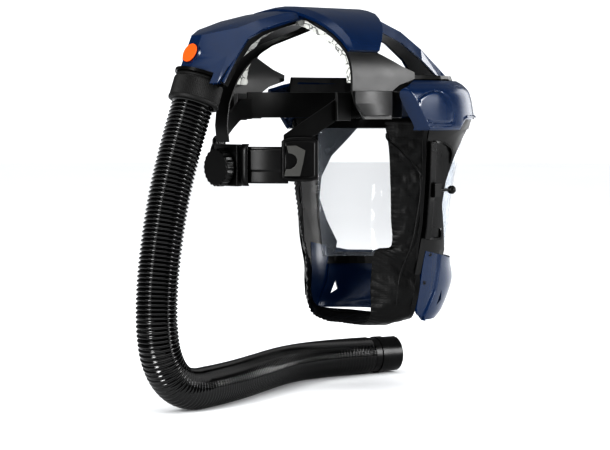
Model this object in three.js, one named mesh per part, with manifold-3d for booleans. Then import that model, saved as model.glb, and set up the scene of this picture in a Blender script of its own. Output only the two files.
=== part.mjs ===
/**
 * Respirator face shield, in millimetres.
 *
 * The shield is worn on the head and fed with air through a hose at the back. A duct runs over the crown
 * to the brow, an arch goes from ear to ear, and a head harness carries both. +Z is up, the wearer looks
 * along -Y, and the wearer's right hand is at -X. The origin is the centre of the head, level with the
 * middle of the headband's ratchet.
 */
import * as THREE from 'three';
import { mergeVertices } from 'three/addons/utils/BufferGeometryUtils.js';
import Module from 'manifold-3d';

const wasm = await Module();
wasm.setup();

// Driving dimensions

const clearance = 0.4; // between two pieces that touch
const wall = { cover: 3, shell: 2.8, tray: 2.4, strut: 2.4, frame: 2, lens: 1.5, cloth: 1.6, strap: 1.8, panel: 1.2 };

const arch = { half: 106, shoulder: 85, top: 156.5, foot: 46, reach: 50, wing: 0.557, bevel: 3.2 };
const duct = { reach: 173, fall: 77.5, roof: 30, rim: 38, ridge: 8, trayInset: 1, trayLip: 2 };
const disc = { radius: 9.4, height: 1.6, boss: 11.5, bossHeight: 4, sink: 4.8, up: 106.8, lean: 24 };
const collar = { radius: 24, bore: 20, height: 26, lean: 20, back: 149, up: 85, socket: 1, socketDepth: 3 };
const strut = { start: 24, half: 12, depth: 11, flare: 0.12 };
const brow = { half: 108, front: 179, shoulder: 60, rear: 12, low: 35, belt: 69, top: 84, lipLift: 12 };
const sidePanel = { rear: 26, front: 82, low: 43, high: 73 };
const frame = { inset: 11, rear: 58, shoulder: 72, top: 46, bottom: -108, recess: 3, band: 12 };
const lens = { top: 35, bottom: -100, gap: 1.2 };
const rod = { depth: 3.5, top: 24, bottom: -72 };
const peg = { stem: 1.6, ball: 4.4, length: 19, up: -24, splay: 8, blockWidth: 9, blockHeight: 13, blockDepth: 6 };
const chin = { inset: 7, recess: 22, rear: 62, shoulder: 68, top: -84, bottom: -154 };
const vent = { length: 15, height: 7, forward: 118, side: 34, up: -139 };
const seal = { inset: 1, gap: 0.6, top: 44, bottom: -155, edgeHalf: 76, puff: 5, rimDepth: 2.6 };
const band = { half: 79, length: 103, centre: -12, low: -15, high: 20, strapWidth: 21, frontHalf: 13 };
const ratchet = { radius: 18.5, height: 10, housing: 9, housingHalf: 24, lobes: 22, lobe: 1 };
const pivot = { rear: -43, front: 5, low: 49.5, high: 73, bulge: 3, post: 8, postForward: -18, postUp: 60 };
const liner = { thickness: 8, width: 26, reach: 0.78 };
const crown = { width: 18, thickness: 2 };
const hose = { radius: 20, sides: 12, steps: 24 };
const connector = { length: 34, ringLength: 8, bore: 17 };

// The hose's route as points forward, to the right and up, chosen by hand
const hoseRoute = [
  [-158.2, 0, 60.1], [-162.6, 0, 48], [-167.9, 0, 33.5], [-173.3, 0, 18], [-179.6, 0, -2],
  [-186, 0, -25], [-192, 0, -52], [-196.6, 0, -78], [-200, 0, -104], [-201.6, 0, -130],
  [-201, 0, -153], [-196.5, -0.8, -176], [-186, -2.6, -195], [-170, -5.5, -207.5], [-150, -9.5, -212.6],
  [-128, -15.5, -213], [-104, -24, -213], [-78, -35, -213], [-50, -49, -213], [-22, -64, -213],
  [6, -79, -213], [34, -92, -213], [64, -101, -213], [95, -104, -213], [128, -102, -213],
  [158, -97, -213],
];

const frameHalf = brow.half - frame.inset;
const frameFront = brow.front - frame.recess;
const chinFront = frameFront - chin.recess;

// Helpers

const { cos, sin, sign, abs, round } = Math;
const { lerp, degToRad, clamp } = THREE.MathUtils;

/** A point given as forward of the origin, out to the wearer's right, and up. */
const at = (forward, side, up) => new THREE.Vector3(-side, -forward, up);

/** Even steps from one value to another, both ends included. */
const spread = (first, last, count) => Array.from({ length: count + 1 }, (_, i) => lerp(first, last, i / count));

/** Reads a column of a table of stations at one place, straight between the rows. */
function read(table, key, place, column) {
  const next = table.findIndex((row) => row[key] >= place);
  if (next === 0) return table[0][column];
  if (next < 0) return table.at(-1)[column];
  const [low, high] = [table[next - 1], table[next]];
  return lerp(low[column], high[column], (place - low[key]) / (high[key] - low[key]));
}

/** Half an ellipse with straight legs: u runs from the right leg's end (-1) to the left leg's end (1). */
function horseshoe(u, { rear, shoulder, front, half, leg = 0.25 }) {
  const reach = abs(u);
  if (reach > 1 - leg) return [lerp(shoulder, rear, (reach - 1 + leg) / leg), -sign(u) * half];
  const angle = (reach / (1 - leg)) * (Math.PI / 2);
  return [shoulder + (front - shoulder) * cos(angle), -sign(u) * half * sin(angle)];
}

/** The direction that a surface faces, from two short steps on it. */
function facing(surface, u, v) {
  const step = 0.002;
  const along = surface(u + step, v).sub(surface(u - step, v));
  const across = surface(u, v + step).sub(surface(u, v - step));
  return along.cross(across).normalize();
}

/** A bent plate: a flat grid of cells laid on a surface, from one height over it to another. */
function plate(surface, along, across, outer, inner) {
  const geometry = new THREE.BoxGeometry(1, 1, 1, along.length - 1, across.length - 1, 1);
  const turn = sign((along.at(-1) - along[0]) * (across.at(-1) - across[0]));
  const { position } = geometry.attributes;
  for (let i = 0; i < position.count; i += 1) {
    const u = along[round((position.getX(i) + 0.5) * (along.length - 1))];
    const v = across[round((position.getY(i) + 0.5) * (across.length - 1))];
    const lift = position.getZ(i) > 0 ? outer : inner;
    const point = surface(u, v).addScaledVector(facing(surface, u, v), lift * turn);
    position.setXYZ(i, point.x, point.y, point.z);
  }
  return geometry;
}

/** A closed mesh as a solid that can be joined and cut. */
function solid(geometry) {
  const bare = geometry.clone();
  bare.deleteAttribute('normal');
  bare.deleteAttribute('uv');
  const merged = mergeVertices(bare, 1e-4);
  return new wasm.Manifold(new wasm.Mesh({
    numProp: 3,
    vertProperties: new Float32Array(merged.attributes.position.array),
    triVerts: new Uint32Array(merged.index.array),
  }));
}

/** A solid as a mesh's geometry again. */
function shape(body) {
  const { vertProperties, triVerts } = body.getMesh();
  const geometry = new THREE.BufferGeometry();
  geometry.setAttribute('position', new THREE.BufferAttribute(vertProperties, 3));
  geometry.setIndex(new THREE.BufferAttribute(triVerts, 1));
  geometry.computeVertexNormals();
  return geometry;
}

/** A solid without the small closed voids that a join leaves. */
const filled = (body) => wasm.Manifold.compose(body.decompose().filter((piece) => piece.volume() > 0));

/** The main body that a cut leaves, without its offcuts. */
const trimmed = (body) => body.decompose().sort((a, b) => b.volume() - a.volume())[0];

/** The room that a solid takes with its clearance, from copies of it moved a little each way. */
function room(body) {
  const ways = [[1, 0, 0], [-1, 0, 0], [0, 1, 0], [0, -1, 0], [0, 0, 1], [0, 0, -1]];
  const moved = ways.map((way) => body.translate(way.map((step) => step * clearance)));
  return wasm.Manifold.union([body, ...moved]);
}

/** The same solid on the wearer's other side. */
const mirrored = (body) => body.mirror([1, 0, 0]);

const plastic = (colour, roughness = 0.4, metalness = 0) =>
  new THREE.MeshStandardMaterial({ color: colour, roughness, metalness });

const finish = {
  blue: plastic(0x16305c, 0.28),
  black: plastic(0x141415, 0.55),
  gloss: plastic(0x0c0c0d, 0.25),
  rubber: plastic(0x101011, 0.35),
  cloth: plastic(0x0d0d0e, 0.9),
  foam: plastic(0xe9e9e6, 0.85),
  grey: plastic(0x4a4b4d, 0.5),
  orange: plastic(0xe8701a, 0.5),
};
finish.clear = new THREE.MeshStandardMaterial({
  color: 0xf2f6f8, roughness: 0.05, transparent: true, opacity: 0.25,
});

const shield = new THREE.Group();

/** Puts a named piece on the shield. */
function add(name, piece, material) {
  const mesh = new THREE.Mesh(piece instanceof wasm.Manifold ? shape(piece) : piece, material);
  mesh.name = name;
  shield.add(mesh);
}

/** Puts a piece of the right side on the shield, and its mirror image on the left. */
function addPair(name, body, material) {
  add(`${name}_right`, body, material);
  add(`${name}_left`, mirrored(body), material);
}

// The arch. Its edges are shares of arch.reach, by the share of the way from the crown to the foot.
const archEdge = [
  { girth: 0, rear: -1.16, front: 0.9 },
  { girth: 0.2, rear: -1.16, front: 0.74 },
  { girth: 0.36, rear: -1.02, front: 0.4 },
  { girth: 0.48, rear: -0.93, front: 0.07 },
  { girth: 0.557, rear: -0.88, front: -0.09 },
  { girth: 0.61, rear: -0.88, front: 0.2 },
  { girth: 0.655, rear: -0.88, front: 0.44 },
  { girth: 0.7, rear: -0.88, front: 0.76 },
  { girth: 0.75, rear: -0.88, front: 0.76 },
  { girth: 0.79, rear: -0.88, front: 0.34 },
  { girth: 0.83, rear: -0.88, front: 0.14 },
  { girth: 0.9, rear: -0.8, front: 0.14 },
  { girth: 1, rear: -0.56, front: 0.14 },
];
const archLeg = { rear: arch.foot, shoulder: arch.shoulder, leg: 0.25 };

/** A point of the arch's outer face, sunk by an inset, at a distance forward of the origin. */
function archPoint(u, forward, inset) {
  const [up, side] = horseshoe(u, { ...archLeg, front: arch.top - inset, half: arch.half - inset });
  return at(forward, side, up);
}

/** The strip of the arch between two edges, from the front edge (v = 0) to the rear edge (v = 1). */
function archStrip(frontEdge, rearEdge, inset = () => 0) {
  return (u, v) => archPoint(u, lerp(frontEdge(abs(u)), rearEdge(abs(u)), v), inset(abs(u), v));
}

const rearEdge = (girth) => read(archEdge, 'girth', girth, 'rear') * arch.reach;
const frontEdge = (girth) => read(archEdge, 'girth', girth, 'front') * arch.reach;
const shellSink = wall.cover + arch.bevel + clearance;

// The collar's own frame: its axis leans back from the plumb line
const collarAxis = at(-sin(degToRad(collar.lean)), 0, -cos(degToRad(collar.lean)));
const collarTop = at(-collar.back, 0, collar.up);

/** A round piece about the collar's axis, between two distances below the collar's top. */
function onCollar(geometry, from) {
  geometry.rotateX(Math.PI / 2);
  geometry.applyQuaternion(new THREE.Quaternion().setFromUnitVectors(new THREE.Vector3(0, 0, 1), collarAxis));
  const start = collarTop.clone().addScaledVector(collarAxis, from);
  return geometry.translate(start.x, start.y, start.z);
}

/** A disc that starts at its own origin and grows along its axis. */
const cylinder = (radius, height, sides, endRadius = radius) =>
  new THREE.CylinderGeometry(endRadius, radius, height, sides).translate(0, height / 2, 0);

/** A ring with a square section, from a lathe. */
function ring(outer, inner, height, sides) {
  const section = [[inner, 0], [outer, 0], [outer, height], [inner, height], [inner, 0]];
  return new THREE.LatheGeometry(section.map(([x, y]) => new THREE.Vector2(x, y)), sides);
}

// The cover over the duct. Each row is a line across it, with the ridge, the roof's edge and the rim as
// shares of duct.reach to the back and of duct.fall below the crown.
const ductRows = [
  { row: 0, ridgeBack: 0.24, ridgeFall: 0.035, edgeBack: 0.24, edgeFall: 0.07, rimBack: 0.25, rimFall: 0.125 },
  { row: 1, ridgeBack: 0.4, ridgeFall: 0.09, edgeBack: 0.4, edgeFall: 0.11, rimBack: 0.4, rimFall: 0.2 },
  { row: 2, ridgeBack: 0.58, ridgeFall: 0.185, edgeBack: 0.58, edgeFall: 0.2, rimBack: 0.6, rimFall: 0.32 },
  { row: 3, ridgeBack: 0.885, ridgeFall: 0.4, edgeBack: 0.74, edgeFall: 0.315, rimBack: 0.7, rimFall: 0.436 },
  { row: 4, ridgeBack: 0.94, ridgeFall: 0.68, edgeBack: 0.81, edgeFall: 0.65, rimBack: 0.792, rimFall: 0.68 },
  { row: 5, ridgeBack: 1, ridgeFall: 1, edgeBack: 0.88, edgeFall: 0.985, rimBack: 0.88, rimFall: 0.965 },
];
const ductSpots = [
  { side: 0, from: 'ridge' }, { side: duct.ridge, from: 'ridge' },
  { side: duct.roof, from: 'edge' }, { side: duct.rim, from: 'rim' },
];

/** A point of the cover over the duct, at a distance to the right and at a row of the table. */
function ductPoint(side, row) {
  const reach = clamp(abs(side), 0, duct.rim);
  const spot = Math.max(1, ductSpots.findIndex((each) => each.side >= reach));
  const [near, far] = [ductSpots[spot - 1], ductSpots[spot]];
  const share = (reach - near.side) / (far.side - near.side);
  const line = (from, what) => read(ductRows, 'row', row, from + what);
  const back = lerp(line(near.from, 'Back'), line(far.from, 'Back'), share) * duct.reach;
  const fall = lerp(line(near.from, 'Fall'), line(far.from, 'Fall'), share) * duct.fall;
  return at(-back, side, arch.top - fall);
}

const ductAcross = [-duct.rim, -duct.roof, -duct.ridge, duct.ridge, duct.roof, duct.rim];
const ductSheet = plate((u, v) => ductPoint(-u, v), ductAcross, spread(0, 5, 5), 0, -wall.cover);
const wingAlong = spread(-arch.wing, arch.wing, 16);
const wingInset = (girth, v) => (v > 0.99 || girth > arch.wing * 0.99 ? arch.bevel : 0);
const wingSheet = plate(
  archStrip(frontEdge, (girth) => rearEdge(girth) + 1, wingInset),
  [-arch.wing, ...wingAlong.slice(1, -1).map((u) => u * 0.98), arch.wing],
  [0, 0.4, 0.86, 1],
  0,
  -wall.cover,
);
const socketRadius = collar.radius + collar.socket;
const socketCut = onCollar(cylinder(socketRadius + clearance, collar.socketDepth + 30, 28), -collar.socketDepth - clearance);

// The plain inlay at the back of the cover, on its round boss
const discAxis = at(-cos(degToRad(disc.lean)), 0, sin(degToRad(disc.lean)));
const discFall = (arch.top - disc.up) / duct.fall;
const discBack = read(ductRows, 'ridgeFall', discFall, 'ridgeBack') * duct.reach - disc.sink;

/** A round piece that faces back from the cover, starting at a height over the ridge. */
function onDisc(geometry, from) {
  geometry.applyQuaternion(new THREE.Quaternion().setFromUnitVectors(new THREE.Vector3(0, 1, 0), discAxis));
  const start = at(-discBack, 0, disc.up).addScaledVector(discAxis, from);
  return geometry.translate(start.x, start.y, start.z);
}
const boss = solid(onDisc(cylinder(disc.boss, disc.bossHeight + wall.cover, 28), -wall.cover));
const coverSolid = filled(solid(wingSheet).add(solid(ductSheet)).add(boss));
const discSeat = solid(onDisc(cylinder(disc.radius + clearance, disc.bossHeight * 5, 28), disc.bossHeight));
const cover = trimmed(coverSolid.subtract(solid(socketCut)).subtract(discSeat));
add('top_cover', cover, finish.blue);
add('rear_disc', onDisc(cylinder(disc.radius, disc.height, 28), disc.bossHeight + clearance), finish.orange);

// The black lower half of the duct: a channel inside the rim, with the round socket of the hose
const trayRows = [
  { row: 0, back: 0.345, fall: 0.24, rimBack: 0.345, rimFall: 0.19 },
  { row: 1, back: 0.47, fall: 0.315, rimBack: 0.47, rimFall: 0.25 },
  { row: 2, back: 0.58, fall: 0.4, rimBack: 0.6, rimFall: 0.33 },
  { row: 3, back: 0.665, fall: 0.52, rimBack: 0.7, rimFall: 0.446 },
  { row: 4, back: 0.745, fall: 0.73, rimBack: 0.792, rimFall: 0.69 },
  { row: 5, back: 0.83, fall: 1.03, rimBack: 0.885, rimFall: 0.985 },
];
const trayHalf = duct.rim - duct.trayInset;
const trayFloor = trayHalf - duct.trayLip;
const traySpots = [-trayHalf, -trayFloor, trayFloor, trayHalf];

/** A point of the tray's outer face: its two upright sides and its flat bottom. */
function trayPoint(u, row) {
  const place = clamp(u, 0, 3);
  const spot = Math.min(2, Math.floor(place));
  const side = lerp(traySpots[spot], traySpots[spot + 1], place - spot);
  const low = clamp(Math.min(place, 3 - place), 0, 1);
  const back = lerp(read(trayRows, 'row', row, 'rimBack'), read(trayRows, 'row', row, 'back'), low);
  const fall = lerp(read(trayRows, 'row', row, 'rimFall'), read(trayRows, 'row', row, 'fall'), low);
  return at(-back * duct.reach, -side, arch.top - fall * duct.fall);
}
const channel = plate(trayPoint, [3, 2, 1, 0], spread(0, 5, 5), 0, -wall.tray);
const socket = onCollar(ring(socketRadius, collar.bore, collar.socketDepth, 28), -collar.socketDepth);
const insideSocket = onCollar(cylinder(socketRadius - collar.socket, 60, 28), -30);
const tray = solid(channel).subtract(solid(insideSocket)).add(solid(socket));
const coverRoom = room(cover);
add('duct_tray', trimmed(tray.subtract(coverRoom).subtract(discSeat)), finish.black);

add('hose_collar', onCollar(cylinder(collar.radius, collar.height, 28), clearance), finish.black);

// The hose and its far connector
const route = new THREE.CatmullRomCurve3(hoseRoute.map((point) => at(...point)), false, 'centripetal');
const hoseSection = new THREE.Shape();
hoseSection.absarc(0, 0, hose.radius, 0, Math.PI * 2);
const hoseTube = new THREE.ExtrudeGeometry(
  new THREE.Shape(hoseSection.getPoints(hose.sides / 2).slice(0, -1)),
  { steps: hose.steps, extrudePath: route, bevelEnabled: false },
);
add('hose', hoseTube, finish.rubber);

const hoseEnd = route.getPoint(1);
const hoseWay = route.getTangent(1);

/** A round piece in line with the hose's far end. */
function onHoseEnd(geometry, from) {
  geometry.applyQuaternion(new THREE.Quaternion().setFromUnitVectors(new THREE.Vector3(0, 1, 0), hoseWay));
  const start = hoseEnd.clone().addScaledVector(hoseWay, from);
  return solid(geometry.translate(start.x, start.y, start.z));
}
const cuff = hose.radius - 1;
const plug = onHoseEnd(cylinder(cuff, connector.length, 20), clearance)
  .add(onHoseEnd(cylinder(hose.radius, connector.ringLength, 20), clearance + connector.ringLength))
  .subtract(onHoseEnd(cylinder(connector.bore, connector.length, 20), connector.ringLength));
add('hose_connector', plug, finish.black);

// The black arch with its side arms, the white strip inside it, and the covers over the pivots
const archAlong = [...archEdge.slice(1).map((row) => -row.girth).reverse(), 0, ...archEdge.slice(1).map((row) => row.girth)];
const frameAlong = archAlong.flatMap((u, i) => (i ? [(u + archAlong[i - 1]) / 2, u] : [u]));
const archRearAtCrown = -duct.reach * trayRows[0].back + clearance;
const shellRear = (girth) => Math.max(rearEdge(girth), girth < 0.28 ? archRearAtCrown + 8 : rearEdge(girth));
const shellFront = (girth) => (girth < 0.16 ? strut.start - clearance : frontEdge(girth) - (girth < arch.wing ? 3 : 0));
const frameArch = solid(plate(
  archStrip(shellFront, shellRear),
  frameAlong,
  [0, 0.5, 1],
  -shellSink,
  -shellSink - wall.shell,
));
add('arch_frame', trimmed(frameArch.subtract(coverRoom)), finish.black);

const linerSink = shellSink + wall.shell + clearance;
const linerStrip = solid(plate(
  archStrip((girth) => shellRear(girth) + liner.width, (girth) => shellRear(girth) + 2),
  spread(-liner.reach, liner.reach, 28),
  [0, 1],
  -linerSink,
  -linerSink - liner.thickness,
));
add('arch_liner', trimmed(linerStrip.subtract(coverRoom)), finish.foam);

/** The pivot's cover: bowed out about an upright axis, with its lower rear corner cut off. */
function pivotPoint(u, v) {
  const up = lerp(pivot.low, pivot.high, v);
  const cut = clamp((pivot.low + 12 - up) / 12, 0, 1) * 12;
  const forward = lerp(pivot.rear + cut, pivot.front, u);
  const bow = pivot.bulge * (1 - (2 * u - 1) ** 2);
  return at(forward, arch.half - shellSink + wall.panel + clearance * 2 + bow, up);
}
addPair('pivot_cover', solid(plate(pivotPoint, spread(1, 0, 8), [0, 0.5, 1], wall.panel, -wall.panel)), finish.black);

const postInner = band.half + clearance;
const postOuter = arch.half - shellSink - wall.shell - clearance;
const post = cylinder(pivot.post, postOuter - postInner, 20).rotateZ(Math.PI / 2);
addPair('pivot_post', solid(post.translate(-postInner, -pivot.postForward, pivot.postUp)), finish.black);

// The strut from the crown to the brow. Its rows are shares of the brow's front and of the crown's height.
const strutRows = [
  { row: 0, forward: 0, up: 0.958, half: 1 },
  { row: 1, forward: 0.17, up: 0.948, half: 1 },
  { row: 2, forward: 0.36, up: 0.926, half: 1 },
  { row: 3, forward: 0.57, up: 0.86, half: 1.02 },
  { row: 4, forward: 0.77, up: 0.75, half: 1.15 },
  { row: 5, forward: 0.935, up: 0.615, half: 1.6 },
  { row: 6, forward: 1.015, up: 0.53, half: 2.1 },
];
const strutFoot = brow.front * 0.9;

/** A point of the strut's top face, at a share of its half width and at a row of the table. */
function strutPoint(u, row, sink = 0) {
  const forward = lerp(strut.start, strutFoot, read(strutRows, 'row', row, 'forward'));
  const half = strut.half * read(strutRows, 'row', row, 'half');
  return at(forward, u * half, arch.top * read(strutRows, 'row', row, 'up') - sink);
}

/** The strut's U section: down one side, over the top and down the other side. */
function strutSkin(u, row) {
  const place = clamp(u, -2, 2);
  const sink = Math.max(0, abs(place) - 1) * strut.depth;
  return strutPoint(clamp(place, -1, 1) + sign(place) * (sink / strut.depth) * strut.flare, row, sink);
}
const strutShell = solid(plate(strutSkin, [-2, -1, 0, 1, 2], spread(0, 6, 6), 0, -wall.strut));
const strutFill = solid(plate((u, v) => strutPoint(u, v, strut.depth), [-0.86, 0.86], spread(0, 6, 6), strut.depth * 0.5, 0));

// The brow, from its lower lip to its top edge. Each row has its height as a share of the way up at the
// sides, and its width, front and rear end as shares of the brow's own. The last row lies past the edge, for
// the room that the brow takes.
const browTable = [
  { row: 0, height: 0, half: 0.985, front: 0.995, rear: 0.118 },
  { row: 1, height: 0.12, half: 1, front: 1, rear: 0.105 },
  { row: 2, height: 0.7, half: 1, front: 0.955, rear: 0 },
  { row: 3, height: 0.9, half: 0.92, front: 0.93, rear: 0.1 },
  { row: 4, height: 1, half: 0.83, front: 0.9, rear: 0.19 },
  { row: 5, height: 1.03, half: 0.803, front: 0.891, rear: 0.205 },
];

/** A point of the brow's outer face: u from the right ear to the left ear, v a row of the table. */
function browPoint(u, v) {
  const line = (column) => read(browTable, 'row', v, column);
  const rear = brow.rear + line('rear') * brow.front;
  const [forward, side] = horseshoe(u, {
    rear, shoulder: brow.shoulder, front: brow.front * line('front'), half: brow.half * line('half'), leg: 0.22,
  });
  const ahead = clamp((forward - brow.front * 0.56) / 10, 0, 1);
  const lip = ahead * brow.lipLift * (1 - clamp(v, 0, 2) / 2);
  return at(forward, side, lerp(brow.low, brow.top, line('height')) + lip);
}
const browAlong = spread(-1, 1, 28);
const browRows = [0, 1, 2, 3, 4];
const browSheet = solid(plate(browPoint, browAlong, browRows, 0, -wall.cover));
const browRoom = solid(plate(browPoint, [-1.01, ...browAlong, 1.01], [...browRows, 5], clearance, -wall.cover - clearance));
add('brow_cover', browSheet, finish.blue);
add('front_strut', trimmed(strutShell.subtract(browRoom)), finish.blue);
add('strut_underside', trimmed(strutFill.subtract(browRoom).subtract(room(strutShell))), finish.black);

/** The side panel of the brow, a little proud of it. */
function sidePanelPoint(u, v) {
  const up = lerp(sidePanel.low, sidePanel.high, v);
  const row = 0.12 + ((up - brow.low) / (brow.top - brow.low) - 0.12) / 0.58 + 0.88;
  const slant = 10 * (1 - v) + 4 * v;
  const target = lerp(sidePanel.rear + slant, sidePanel.front + slant * 0.6, u);
  let [low, high] = [-1, -0.3];
  for (let i = 0; i < 24; i += 1) {
    const middle = (low + high) / 2;
    if (-browPoint(middle, row).y < target) low = middle;
    else high = middle;
  }
  return browPoint(low, clamp(row, 0, 2));
}
addPair('side_panel', solid(plate(sidePanelPoint, spread(0, 1, 10), [0.02, 0.34, 0.66, 0.94], wall.panel + clearance, clearance)), finish.blue);

// The black rim inside the top of the brow, from arm to arm
function rimPoint(u, v) {
  const inset = wall.cover + clearance;
  const [forward, side] = horseshoe(u, {
    rear: frontEdge(0.72) + 1,
    shoulder: brow.shoulder,
    front: brow.front * lerp(0.93, 0.87, v) - inset,
    half: brow.half * lerp(0.9, 0.84, v) - inset,
    leg: 0.12,
  });
  return at(forward, side, lerp(brow.belt - 4, brow.top + 5, v));
}
const rimSheet = solid(plate(rimPoint, spread(-1, 1, 20), [0, 1], 0, -wall.shell));
const strutRoom = (u, row) => strutPoint(u, row, strut.depth + 2 * clearance);
const strutZone = solid(plate(strutRoom, [-1.3, 1.3], spread(0, 6, 6), 40, 0));
add('brow_rim', trimmed(rimSheet.subtract(browRoom).subtract(strutZone)), finish.black);

// The visor frame: two side flanges with a waved front edge, and a band over and under the visor. Each row
// is a height as a share of the way up, with the frame's width and depth as shares of its own.
const frameTable = [
  { height: 0, half: 0.86, front: 0.8, flange: 0.2, rear: 0.02 },
  { height: 0.15, half: 0.9, front: 0.8, flange: 0.27, rear: 0.01 },
  { height: 0.3, half: 0.94, front: 0.815, flange: 0.17, rear: 0 },
  { height: 0.45, half: 0.965, front: 0.83, flange: 0.1, rear: 0 },
  { height: 0.6, half: 0.985, front: 0.86, flange: 0.13, rear: 0 },
  { height: 0.74, half: 0.995, front: 0.91, flange: 0.22, rear: 0 },
  { height: 0.87, half: 1, front: 0.955, flange: 0.36, rear: 0 },
  { height: 0.93, half: 1.025, front: 0.975, flange: 0.42, rear: 0 },
  { height: 1, half: 1.072, front: 0.985, flange: 0.46, rear: 0 },
];
const frameTall = frame.top - frame.bottom;

/** A point of the frame's outer face, sunk by an inset: u as on a horseshoe, v the share of the way up. */
function framePoint(u, v, inset = 0) {
  const line = (column) => read(frameTable, 'height', v, column);
  const [forward, side] = horseshoe(u, {
    rear: frame.rear - line('rear') * frameFront,
    shoulder: frame.shoulder,
    front: frameFront * line('front') - inset,
    half: frameHalf * line('half') - inset,
    leg: 0.14,
  });
  return at(forward, side, frame.bottom + frameTall * v);
}

/** The share of the way round at which the frame's side flange ends, at a height. */
const flangeEnd = (v) => 0.86 - read(frameTable, 'height', v, 'flange') * 0.78;
const frameRows = frameTable.map((row) => row.height);
const flange = solid(plate(
  (u, v) => framePoint(-lerp(1, flangeEnd(v), u), v),
  spread(0, 1, 4),
  frameRows,
  0,
  -wall.frame,
));
const bandShare = frame.band / frameTall;
const upperBand = solid(plate(framePoint, spread(-0.75, 0.75, 24), [0.93, 1], 0, -wall.frame));
const lowerBand = solid(plate(framePoint, spread(-0.75, 0.75, 24), [0, bandShare], 0, -wall.frame));
const frameSolid = trimmed(flange.add(mirrored(flange)).add(upperBand).add(lowerBand).subtract(browRoom));

// The clear visor, bent inside the frame
const lensShare = [lens.bottom, lens.top].map((up) => (up - frame.bottom) / frameTall);
const lensRows = [lensShare[0], ...frameRows.filter((row) => row > lensShare[0] && row < lensShare[1]), lensShare[1]];
const lensPoint = (u, v) => framePoint(u, v, wall.frame + lens.gap);
add('visor_lens', plate(lensPoint, spread(-0.8, 0.8, 18), lensRows, 0, -wall.lens), finish.clear);

// The rods down the frame's sides, and the pegs on their blocks
const rodShare = [rod.bottom, rod.top].map((up) => (up - frame.bottom) / frameTall);
const rodPoint = (u, v) => framePoint(-lerp(0.985, 0.91, u), lerp(rodShare[0], rodShare[1], v));
const rodSolid = solid(plate(rodPoint, [0, 0.5, 1], spread(0, 1, 8), clearance + rod.depth, clearance));
const pegShare = (peg.up - frame.bottom) / frameTall;
const pegFoot = framePoint(-0.9, pegShare);
const pegSide = framePoint(-0.9, pegShare + peg.blockHeight / frameTall).x - clearance;
const blockBox = (grow) => solid(
  new THREE.BoxGeometry(peg.blockDepth + grow, peg.blockWidth + 2 * grow, peg.blockHeight + 2 * grow)
    .translate(pegSide - (peg.blockDepth + grow) / 2, pegFoot.y, pegFoot.z),
);
const pegStart = new THREE.Vector3(pegSide - peg.blockDepth / 2, pegFoot.y, pegFoot.z);
const pegWay = at(cos(degToRad(peg.splay)), sin(degToRad(peg.splay)), 0);
const stem = cylinder(peg.stem, peg.length, 8)
  .applyQuaternion(new THREE.Quaternion().setFromUnitVectors(new THREE.Vector3(0, 1, 0), pegWay))
  .translate(pegStart.x, pegStart.y, pegStart.z);
const ballPlace = pegStart.clone().addScaledVector(pegWay, peg.length);
const ball = new THREE.SphereGeometry(peg.ball, 10, 7).translate(ballPlace.x, ballPlace.y, ballPlace.z);
const pegSolid = solid(stem).add(solid(ball)).add(blockBox(0));
const blockRoom = blockBox(clearance);
add('visor_frame', frameSolid, finish.gloss);
addPair('frame_rod', trimmed(rodSolid.subtract(blockRoom)), finish.gloss);
addPair('cover_peg', pegSolid, finish.gloss);

// The chin piece. Each row is a height as a share of the way up, with shares of the chin's own size.
const chinTable = [
  { row: 0, height: 0, half: 0.62, front: 0.82, rear: 0.14, tip: 0 },
  { row: 1, height: 0.14, half: 0.84, front: 0.89, rear: 0.01, tip: 0 },
  { row: 2, height: 0.5, half: 0.93, front: 1, rear: 0, tip: 0 },
  { row: 3, height: 0.8, half: 0.975, front: 0.965, rear: 0.01, tip: -0.02 },
  { row: 4, height: 1, half: 1, front: 0.945, rear: 0.02, tip: -0.14 },
];

/** A point of the chin piece's outer face: u as on a horseshoe, v a row of the table. */
function chinPoint(u, v) {
  const line = (column) => read(chinTable, 'row', v, column);
  const [forward, side] = horseshoe(u, {
    rear: chin.rear + line('rear') * chinFront,
    shoulder: chin.shoulder,
    front: chinFront * line('front'),
    half: (frameHalf - chin.inset) * line('half'),
    leg: 0.1,
  });
  const ahead = clamp((forward - chin.rear) / (chinFront * 0.3), 0, 1);
  return at(forward, side, lerp(chin.bottom, chin.top, line('height') + line('tip') * ahead));
}
const chinAlong = spread(-1, 1, 22);
const chinRows = [0, 1, 2, 3, 4];
const chinSolid = solid(plate(chinPoint, chinAlong, chinRows, 0, -wall.cover));
const ventShape = new THREE.Shape([
  new THREE.Vector2(-vent.length / 2, -vent.height / 2),
  new THREE.Vector2(vent.length / 2, -vent.height / 2 + 2),
  new THREE.Vector2(vent.length / 2 - 3, vent.height / 2),
]);
const ventCut = new THREE.ExtrudeGeometry(ventShape, { depth: 60, bevelEnabled: false })
  .translate(0, 0, -30)
  .rotateX(Math.PI / 2)
  .rotateZ(degToRad(35))
  .translate(-vent.side, -vent.forward, vent.up);
const vents = solid(ventCut).add(mirrored(solid(ventCut)));
const frameRoom = solid(plate(framePoint, spread(-1, 1, 24), [-0.1, 0, 0.2], clearance, -wall.frame - clearance));
const chinCut = chinSolid.subtract(vents).subtract(frameRoom);
add('chin_cover', trimmed(chinCut), finish.blue);

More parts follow.
